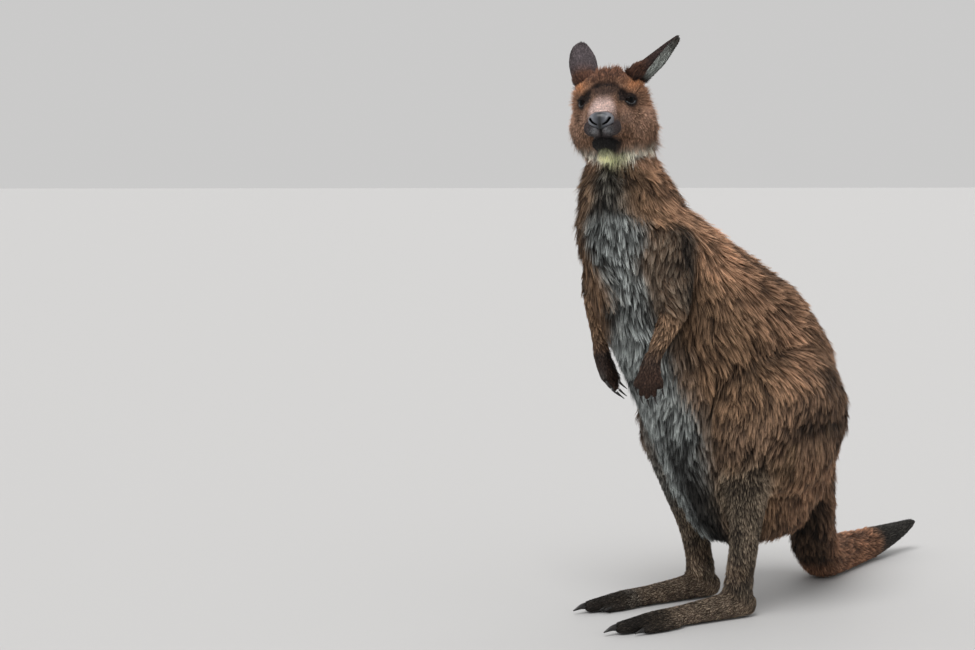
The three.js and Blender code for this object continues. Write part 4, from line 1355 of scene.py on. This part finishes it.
def make_nose(head_field):
    """The nose pad: bare, pebbled leather with slanted nostrils and a furrow down its middle."""
    axes = [low + np.arange(size) for low, size in zip(NOSE_LOW, NOSE_SIZE)]
    h = np.stack(np.meshgrid(*axes, indexing="ij"), -1).reshape(-1, 3)
    outer = head_field.sample(from_head(h), head_field.outer) / MM
    outer += 2.0 * np.exp(-(h[:, 0] / 2.0) ** 2) * ramp(-h[:, 2], 26, 46) + 0.2
    outer -= 0.9 * np.exp(-((nostril(h) - 1.6) / 1.7) ** 2)
    outline = nose_outline(h)
    shape = np.maximum(outer, outline)
    edge = np.maximum(4.0 - np.abs(outer - outline), 0)
    shape = shape + edge ** 2 / 16
    shape = np.maximum.reduce([shape, -(outer + 10), h[:, 1] + 62])
    hole = np.maximum(nostril(h), -(outer + 7))
    shape = np.maximum(shape, -hole)
    shape = softened(shape.reshape(NOSE_SIZE).astype(np.float32), 0.45)
    grid = openvdb.FloatGrid(6.0)
    grid.copyFromArray(np.clip(shape, -6, 6))
    points, quads = grid.convertToQuads(0.0)
    h = points.astype(float) + NOSE_LOW
    mesh = from_lists("nose_pad", from_head(h), quads.astype(int))
    # the pad's sides paler as a painted highlight on its wet leather
    colour = mix(NOSE_GREY, NOSE_SIDE_HIGHLIGHT, ramp(np.abs(h[:, 0]), 6, 17))
    colour = mix(colour, NOSE_MIDDLE, np.exp(-(h[:, 0] / 5.0) ** 2))
    # painted shade in the furrow down the pad's middle
    colour = mix(colour, NOSE_SPLIT, np.exp(-(h[:, 0] / 2.4) ** 2) * ramp(-h[:, 2], 40, 46))
    # painted shade in the nostrils
    paint(mesh, mix(colour, NOSTRIL_BLACK, 1 - ramp(nostril(h), -0.6, 0.8)))
    piece = new_object("nose_pad", mesh, nose_material())
    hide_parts("nose")
    finish_piece(piece)


def tube_faces(rings, turns):
    """Quads between rings of points that follow each other."""
    faces = []
    for i in range(rings - 1):
        for j in range(turns):
            k = (j + 1) % turns
            faces.append((i * turns + j, (i + 1) * turns + j, (i + 1) * turns + k, i * turns + k))
    return faces


def make_eyes():
    """Glossy eyeballs with a bulging front, dark all over as the animal's are."""
    material = eye_material()
    rings, turns = 39, 56
    for side, (sign, _, _) in SIDES.items():
        angles = np.linspace(0, math.pi, rings + 2)[1:-1]
        turn = np.arange(turns) / turns * 2 * math.pi
        a, t = np.meshgrid(angles, turn, indexing="ij")
        bulge = EYE_RADIUS - 0.1 + 1.0 * (1 - ramp(a, math.radians(12), math.radians(40)))
        wide = bulge * np.sin(a)
        local = np.stack([wide * np.cos(t), wide * np.sin(t), bulge * np.cos(a)], -1).reshape(-1, 3)
        local = np.vstack([local, [[0, 0, EYE_RADIUS + 0.9]], [[0, 0, -EYE_RADIUS]]])
        h = EYE_PLACE * (sign, 1, 1) + local @ eye_axes(sign)
        front, end, last = rings * turns, rings * turns + 1, (rings - 1) * turns
        faces = tube_faces(rings, turns)
        faces += [(front, j, (j + 1) % turns) for j in range(turns)]
        faces += [(end, last + (j + 1) % turns, last + j) for j in range(turns)]
        mesh = from_lists("eyeball_" + side, from_head(h), faces)
        off = np.degrees(np.arctan2(np.hypot(local[:, 0] * 0.72, local[:, 1]), local[:, 2]))
        colour = mix(PUPIL, IRIS, ramp(off, 15, 22))
        colour = mix(colour, EYE_EDGE, ramp(off, 34, 42))
        paint(mesh, mix(colour, EYE_WHITE, ramp(off, 56, 66)))
        piece = new_object("eyeball_" + side, mesh, material)
        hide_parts("eye_" + side)
        finish_piece(piece)


EARS = {  # side: root, the way it points and the way it opens, in the head's millimetres
    "left": ((36, 34, 56), (0.84, 0.10, 0.55), (0.53, -0.16, -0.80)),
    "right": ((-31, 38, 43), (-0.25, 0.65, 0.71), (-0.60, 0.75, -0.10)),
}
EAR_LENGTH, EAR_HALF_WIDTH, EAR_THICKNESS, EAR_BARE = 106, 29.5, 4, 0.5


def ear_place(side, u, v, inner):
    """A place on an ear: u along it, v from edge to edge, on its back or inside."""
    root, up, opening = (np.array(value, float) for value in EARS[side])
    up = unit(up)
    back = unit(-(opening - up * (opening @ up)))
    across = np.cross(back, up)
    half = EAR_HALF_WIDTH * (0.62 + 0.38 * np.sin(math.pi * np.clip(u / 1.15, 0, 1)))
    half = half * np.sqrt(np.clip(1 - (0.985 * np.maximum(u, 0)) ** 7, 0, 1))
    wrap = 1.95 - 1.2 * np.clip(1.25 * u, 0, 1)
    radius = (half + 1.5) / np.where(wrap > math.pi / 2, 1, np.sin(wrap))
    angle = v * wrap * 0.985
    thick = EAR_THICKNESS * (1 - 0.45 * v ** 2) * (1 - 0.4 * u)
    reach = radius - np.where(inner, thick - EAR_BARE, EAR_BARE)
    local = (reach * np.sin(angle))[:, None] * across + (reach * np.cos(angle) - radius)[:, None] * back
    return root + local + (u * EAR_LENGTH)[:, None] * up


def ear_colours(side, h, u, v, inner):
    """The ear's hair and its tips: brown and leathery on its back, pale inside with a dark centre and end."""
    rim = np.maximum(ramp(np.abs(v), 0.55, 0.98), ramp(u, 0.8, 1.0))
    # the back's leather, with painted light or shade by side
    leather = EAR_LEATHER_LIT_AND_SHADED[side]
    back = mix(EAR_BACK, leather, ramp(u, 0.15, 0.55)) * (1 + 0.12 * noise(h, 4.0, 21)[:, None])
    back = mix(back, EAR_RIM, rim * 0.8)
    back_tip = mix(EAR_BACK_TIP, leather * 1.6, ramp(u, 0.10, 0.45))
    centre = np.exp(-(v / 0.42) ** 2) * ramp(u, 0.32, 0.50)
    pale = mix(mix(EAR_PALE, EAR_END, ramp(u, 0.55, 0.97)), EAR_CENTRE, 0.9 * centre)
    deep = 1 - ramp(u, 0.08, 0.20)
    pale = mix(pale * (1 + 0.12 * noise(h * (1, 1, 0.5), 6.0, 22)[:, None]), EAR_DEEP, deep)
    pale_tip = mix(EAR_PALE_TIP, EAR_END_TIP, np.maximum(centre, ramp(u, 0.55, 0.95)))
    pale_tip = mix(pale_tip, EAR_DEEP_TIP, deep)
    return np.where(inner[:, None], pale, back), np.where(inner[:, None], pale_tip, back_tip)


def make_ear(side):
    """An ear's shell, and the coat on its back and inside it."""
    rows, columns = 56, 26
    u_row = -0.07 + 1.065 * np.linspace(0, 1, rows) ** 0.9
    v_out = np.linspace(-1, 1, columns)
    ring_v = np.concatenate([v_out, v_out[::-1]])
    ring_in = np.concatenate([np.zeros(columns, bool), np.ones(columns, bool)])
    u, v = np.repeat(u_row, 2 * columns), np.tile(ring_v, rows)
    inner = np.tile(ring_in, rows)
    h = ear_place(side, u, v, inner)
    per = 2 * columns
    faces = tube_faces(rows, per)
    faces.append(tuple(range(per)))
    faces.append(tuple((rows - 1) * per + j for j in range(per))[::-1])
    mesh = from_lists("ear", from_head(h), faces)
    points, triangles, normals, _ = mesh_arrays(mesh)
    up = HEAD_AXES @ unit(np.array(EARS[side][1]))
    back = HEAD_AXES @ unit(np.array(EARS[side][2]) * -1)
    across = np.cross(back, up)
    lie = np.where(inner[:, None], up - 0.7 * across * np.sign(v)[:, None], up[None])
    lie = unit(lie - normals * (lie * normals).sum(1, keepdims=True))
    colour, tip = ear_colours(side, h, u, v, inner)
    # longer, deeper hair at the base, and thin hair by the edges
    base, deep, edge = 1 - ramp(u, 0.0, 0.30), 1 - ramp(u, 0.08, 0.20), ramp(np.abs(v), 0.55, 0.98)
    length = np.where(inner, (11 - 5 * ramp(u, 0.5, 1.0)) * (1 - 0.5 * deep), 4.5 + 11 * base)
    height = np.where(inner, (1.6 * (1 - ramp(u, 0.6, 1.0)) + 0.4) * (1 - 0.8 * edge), 0.6 + 6.0 * base)
    width = np.where(inner, 0.9, 0.8 + 0.5 * base)
    density = np.where(inner, 56, 70)
    return mesh, Coat(
        points, triangles, normals, lie=lie, length=length * MM, height=height * MM, width=width * MM,
        density=density * 1e4, colour=colour, tip=tip, ruffle=np.full(len(u), 0.2),
        gather=np.full(len(u), 0.3), bold=np.full(len(u), 0.45), free=np.zeros(len(u)), stand=lie,
        bake=np.stack([(v + 1) / 4 + 0.5 * inner, np.clip(u, 0, 1)], 1),
    )


# ---------------------------------------------------------------- whiskers and lashes


def bristle_tree(name, material, count):
    """A node tree that sets a thin, bent, pointed bristle on each point of a mesh, the way the point says."""
    tree = bpy.data.node_groups.new(name, "GeometryNodeTree")
    tree.interface.new_socket("Geometry", in_out="INPUT", socket_type="NodeSocketGeometry")
    for label in ("Length", "Root width", "Bend"):
        tree.interface.new_socket(label, in_out="INPUT", socket_type="NodeSocketFloat")
    tree.interface.new_socket("Seed", in_out="INPUT", socket_type="NodeSocketInt")
    tree.interface.new_socket("Geometry", in_out="OUTPUT", socket_type="NodeSocketGeometry")
    given = tree.nodes.new("NodeGroupInput").outputs

    def maths(operation, a, b):
        node = tree.nodes.new("ShaderNodeMath")
        node.operation = operation
        for socket, value in zip(node.inputs, (a, b)):
            if isinstance(value, bpy.types.NodeSocket):
                tree.links.new(value, socket)
            else:
                socket.default_value = value
        return node.outputs[0]

    end = add(tree, "ShaderNodeCombineXYZ", Z=given["Length"])
    line = add(tree, "GeometryNodeCurvePrimitiveLine", End=end.outputs[0])
    cut = add(tree, "GeometryNodeResampleCurve", Curve=line.outputs[0], Count=count)
    t = tree.nodes.new("GeometryNodeSplineParameter").outputs["Factor"]
    droop = maths("MULTIPLY", maths("MULTIPLY", t, t), maths("MULTIPLY", given["Bend"], given["Length"]))
    offset = add(tree, "ShaderNodeCombineXYZ", X=droop)
    bent = add(tree, "GeometryNodeSetPosition", Geometry=cut.outputs[0], Offset=offset.outputs[0])
    taper = maths("SUBTRACT", 1.0, maths("MULTIPLY", t, 0.92))
    thin = maths("MULTIPLY", taper, maths("MULTIPLY", given["Root width"], 0.5))
    ring = add(tree, "GeometryNodeCurvePrimitiveCircle", Resolution=5, Radius=1.0).outputs[0]
    stalk = add(tree, "GeometryNodeCurveToMesh", Curve=bent.outputs[0], Profile_Curve=ring, Scale=thin)
    stalk.inputs["Fill Caps"].default_value = True
    way = tree.nodes.new("GeometryNodeInputNamedAttribute")
    way.data_type = "FLOAT_VECTOR"
    way.inputs["Name"].default_value = "Way"
    turn = add(tree, "FunctionNodeAlignRotationToVector", Vector=way.outputs["Attribute"])
    turn.axis = "Z"
    vary = add(tree, "FunctionNodeRandomValue", Seed=given["Seed"])
    vary.inputs[2].default_value, vary.inputs[3].default_value = 0.6, 1.1
    placed = add(tree, "GeometryNodeInstanceOnPoints", Points=given["Geometry"], Instance=stalk.outputs[0])
    tree.links.new(turn.outputs["Rotation"], placed.inputs["Rotation"])
    tree.links.new(vary.outputs[1], placed.inputs["Scale"])
    real = add(tree, "GeometryNodeRealizeInstances", Geometry=placed.outputs[0])
    dressed = add(tree, "GeometryNodeSetMaterial", Geometry=real.outputs[0])
    dressed.inputs["Material"].default_value = material
    tree.links.new(dressed.outputs[0], tree.nodes.new("NodeGroupOutput").inputs[0])
    return tree


def bristles(name, roots, ways, tree, slot, **inputs):
    """A piece with a bristle at each root, pointing its way."""
    mesh = bpy.data.meshes.new(name)
    mesh.from_pydata(from_head(roots).tolist(), [], [])
    turned = unit(np.asarray(ways, float)) @ HEAD_AXES.T
    mesh.attributes.new("Way", "FLOAT_VECTOR", "POINT").data.foreach_set("vector", turned.ravel())
    piece = new_object(name, mesh, None)
    growth = piece.modifiers.new("bristles", "NODES")
    growth.node_group = tree
    for item in tree.interface.items_tree:
        key = item.name.lower().replace(" ", "_")
        if item.in_out == "INPUT" and key in inputs:
            growth[item.identifier] = inputs[key]
    applied(piece)
    points, _, _, _ = mesh_arrays(piece.data)
    piece.data.vertices.foreach_set("co", in_box(points).ravel())
    finish_piece(piece)


def make_bristles(head_field):
    """Whiskers on the upper lip and brow, and lashes along the upper lids."""
    pale, _, _ = new_material("whisker", 0.45, 0.4, WHISKER)
    dark, _, _ = new_material("lash", 0.5, 0.4, LASH)
    chance = np.random.default_rng(12)
    roots, ways = [], []
    for sign in (-1, 1):
        for row in range(3):
            for k in range(4):
                roots.append((sign * (15 + 3.2 * k), -77 + 6.0 * k, -56 + 5.5 * row + 0.8 * k))
                ways.append((sign * (0.85 + 0.1 * k), 0.75 + 0.1 * k, -0.30 + 0.22 * row))
        for k in range(3):
            roots.append((sign * (30 + 2.5 * k), -16 + 2 * k, 19 + 1.5 * k))
            ways.append((sign * 0.5, -0.45, 0.75))
    roots, ways = np.array(roots, float), np.array(ways) + chance.normal(0, 0.08, (len(ways), 3))
    places = from_head(roots)
    for _ in range(6):
        places = places - head_field.slope(places) * head_field.sample(places)[:, None]
    tree = bristle_tree("Whiskers", pale, 9)
    bristles(
        "whiskers", to_head(places), ways, tree, "coat_brown",
        length=30 * MM, root_width=0.28 * MM, bend=0.10, seed=3,
    )
    roots, ways = [], []
    for sign in (-1, 1):
        axes = eye_axes(sign)
        for along in np.linspace(-9.5, 9.5, 22):
            above, _ = lid_edges(np.array(along))
            up = above + 0.6
            out = math.sqrt(max((EYE_RADIUS + 1.2) ** 2 - along ** 2 - up ** 2, 1.0))
            roots.append(EYE_PLACE * (sign, 1, 1) + np.array((along, up, out)) @ axes)
            ways.append(np.array((0.05 * along, -0.15, 1.0)) @ axes)
    tree = bristle_tree("Lashes", dark, 6)
    bristles(
        "lashes", np.array(roots), np.array(ways), tree, "coat_dark",
        length=7 * MM, root_width=0.5 * MM, bend=0.25, seed=5,
    )


def smooth_claws(name, nodes, material):
    """The claws of a foot or hand, rounded off from their plain forms."""
    points, faces = [], []
    for node in nodes:
        co, corners = node_surface(node)
        unique, back = np.unique(np.round(co, 6), axis=0, return_inverse=True)
        start = sum(len(p) for p in points)
        points.append(unique)
        faces += [tuple(f) for f in back.ravel()[corners] + start if len(set(f)) == 3]
    mesh = from_lists(name, np.vstack(points), faces)
    piece = new_object(name, mesh, material)
    smooth = piece.modifiers.new("rounding", "SUBSURF")
    smooth.levels = smooth.render_levels = 2
    applied(piece)
    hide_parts(*nodes)
    finish_piece(piece)


def welded(skin, shells):
    """Makes closed shells part of the skin's own surface."""
    for shell in shells:
        weld = skin.modifiers.new("weld", "BOOLEAN")
        weld.operation, weld.solver, weld.object = "UNION", "MANIFOLD", shell
    applied(skin)
    for shell in shells:
        bpy.data.objects.remove(shell)


def ear_points(points, coats):
    """Which of the skin's points lie on an ear, and the colour of the coat there."""
    tree = nearest_tree(np.vstack([coat.points for coat in coats]))
    colours = np.vstack([coat.values["colour"] for coat in coats])
    here = np.zeros(len(points), bool)
    found = np.zeros((len(points), 3))
    for k in np.flatnonzero(to_head(points)[:, 2] > 30):
        _, nearest, gap = tree.find(points[k])
        if gap < 0.3 * MM:
            here[k], found[k] = True, colours[nearest]
    return here, found


def applied(piece):
    """The piece with its modifiers made part of its mesh."""
    evaluated = piece.evaluated_get(bpy.context.evaluated_depsgraph_get())
    mesh = bpy.data.meshes.new_from_object(evaluated)
    piece.modifiers.clear()
    piece.data = mesh
    mesh.name = piece.name


# ---------------------------------------------------------------- the coat, piece by piece

TRUNK_BONES = ("chest", "waist", "rump", "groin")
COAT_PIECES = {  # piece: the bones that it grows on, where round them, and its finish
    "coat_head": (("skull", "muzzle"), "all round", "coat_brown"),
    "coat_neck": (("throat", "neck"), "all round", "coat_brown"),
    "coat_breast": (TRUNK_BONES, "front", "coat_silver"),
    "coat_back_left": (TRUNK_BONES, "left", "coat_brown"),
    "coat_back_right": (TRUNK_BONES, "right", "coat_brown"),
    "coat_tail": (("tail_root", "tail_bend", "tail_middle"), "all round", "coat_brown"),
    "coat_tail_tip": (("tail_tip",), "all round", "coat_dark"),
    "coat_thigh_left": (("thigh_left",), "all round", "coat_brown"),
    "coat_thigh_right": (("thigh_right",), "all round", "coat_brown"),
    "coat_shins": (("shin_left", "shin_right", "heel_left", "heel_right"), "all round", "coat_ticked"),
    "coat_feet": (("foot_left", "foot_right", "toes_left", "toes_right"), "all round", "coat_dark"),
    "coat_arms": (
        ("upper_arm_left", "forearm_left", "hand_left", "upper_arm_right", "forearm_right", "hand_right"),
        "all round", "coat_ticked",
    ),
}
MOST_TRIANGLES = 198000  # of a piece
BREAST_HALF = 50  # degrees round from the middle of the belly
BODY_LOCK, EAR_LOCK = 8 * MM, 4 * MM


def unwrapped(points, best, along, names, own):
    """Each point's place on a flat map of the skin: a strip for each bone, round it and along it."""
    flat = np.zeros((len(points), 2))
    b = to_body(points)
    for name, start, end, _, _, _ in bones():
        if name not in own:
            continue
        here = best == names.index(name)
        line = unit(np.array(end, float) - np.array(start, float))
        side = unit(np.cross(line, (0.99, 0.05, 0.12)))
        other = np.cross(line, side)
        away = b[here] - np.array(start, float)
        turn = np.arctan2(away @ other, away @ side) / (2 * math.pi) + 0.5
        row = (own.index(name) + np.clip((along[here] + 0.4) / 1.8, 0.01, 0.99)) / len(own)
        flat[here] = np.stack([turn, row], 1)
    return flat


def make_coats(coat, field, material):
    """The body's coat, each piece with its own part of the tufts."""
    tufts = grow(coat, 5, BODY_LOCK, follow=field)
    root = tufts["root"]
    _, along, best, names = bone_shares(root)
    b = to_body(root)
    front, left = belly_angle(b) < BREAST_HALF, b[:, 0] >= 0
    everywhere = np.ones(len(root), bool)
    parts = {"all round": everywhere, "front": front, "left": ~front & left, "right": ~front & ~left}
    for name, (own, part, slot) in COAT_PIECES.items():
        chosen = np.flatnonzero(np.isin(best, [names.index(bone) for bone in own]) & parts[part])
        if len(chosen) > MOST_TRIANGLES // TUFT_TRIANGLES:
            fewer = np.random.default_rng(9).choice(chosen, MOST_TRIANGLES // TUFT_TRIANGLES, replace=False)
            chosen = np.sort(fewer)
        flat = unwrapped(root[chosen], best[chosen], along[chosen], names, own)
        build_coat(name, tufts, chosen, flat, material)


def build_coat(name, tufts, chosen, flat, material):
    """One piece of the coat, with its tufts, their colours and their places on its map."""
    own, end = tufts["own"][chosen], tufts["end"][chosen]
    # painted shade: each tuft darker towards its root, deep in the coat
    colours = [own * ROOT_SHADE, own * MIDDLE_SHADE, end * TIP_SHADE]
    path, across, width = (tufts[key][chosen] for key in ("path", "across", "width"))
    mesh = coat_mesh(name, path, across, width, colours, flat)
    finish_piece(new_object(name, mesh, material))


def make_ear_coats(ears, head_field, material):
    """The ears' coats, left out where an ear is inside the head."""
    for side, (_, coat) in ears.items():
        clear = head_field.sample(coat.points) > -2 * MM
        coat.values["density"] = coat.values["density"] * clear
        tufts = grow(coat, 31, EAR_LOCK)
        middle = np.full((len(tufts["corners"]), 3), 1 / 3)
        flat = coat.read(coat.values["bake"], tufts["corners"], middle)
        build_coat("coat_ear_" + side, tufts, np.arange(len(tufts["root"])), flat, material)


def dress_skin(skin, coat, ears):
    """The skin's colour under the coat, darkened as painted shade where the coat is deep, and no body hair on
    the ears.
    """
    shade = mix(1.0, 0.35, ramp(coat.values["height"], 1.0 * MM, 3.0 * MM))[:, None]
    on_ear, ear_colour = ear_points(coat.points, [ear_coat for _, ear_coat in ears.values()])
    coat.values["density"] = np.where(on_ear, 0, coat.values["density"])
    # painted shade: the skin darker under deep coat, and the ears' skin at half their coat's colour under it
    paint(skin.data, np.where(on_ear[:, None], ear_colour * 0.5, coat.values["colour"] * shade))
    skin.data.polygons.foreach_set("use_smooth", np.ones(len(skin.data.polygons), bool))


def make_claws():
    """The claws of both hands and both feet."""
    horn = claw_material()
    for side in SIDES:
        hand = ["claw_finger_%d_%s" % (k, side) for k in range(1, 6)]
        toes = ["claw_%s_toe_%s" % (toe, side) for toe in ("second", "third", "fourth", "fifth")]
        smooth_claws("claws_hand_" + side, hand, horn)
        smooth_claws("claws_foot_" + side, toes, horn)


# ---------------------------------------------------------------- putting it together

body, depth, finer = make_skin_form()
head_field = finer["head"][0]
skin = new_object("skin", skin_mesh(body, finer), skin_material())
ears = {side: make_ear(side) for side in EARS}
welded(skin, [new_object("ear_" + side, mesh, None) for side, (mesh, _) in ears.items()])
coat = skin_coat(skin.data, body, depth)
dress_skin(skin, coat, ears)
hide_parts("ear_left", "ear_right", *[name for name, _, _ in flesh_nodes(*FLESH) if name != "nose"])
finish_piece(skin)
hair = hair_material()
make_coats(coat, body, hair)
make_ear_coats(ears, head_field, hair)
make_nose(head_field)
make_eyes()
make_claws()
make_bristles(head_field)
light_and_camera()
make_floor()
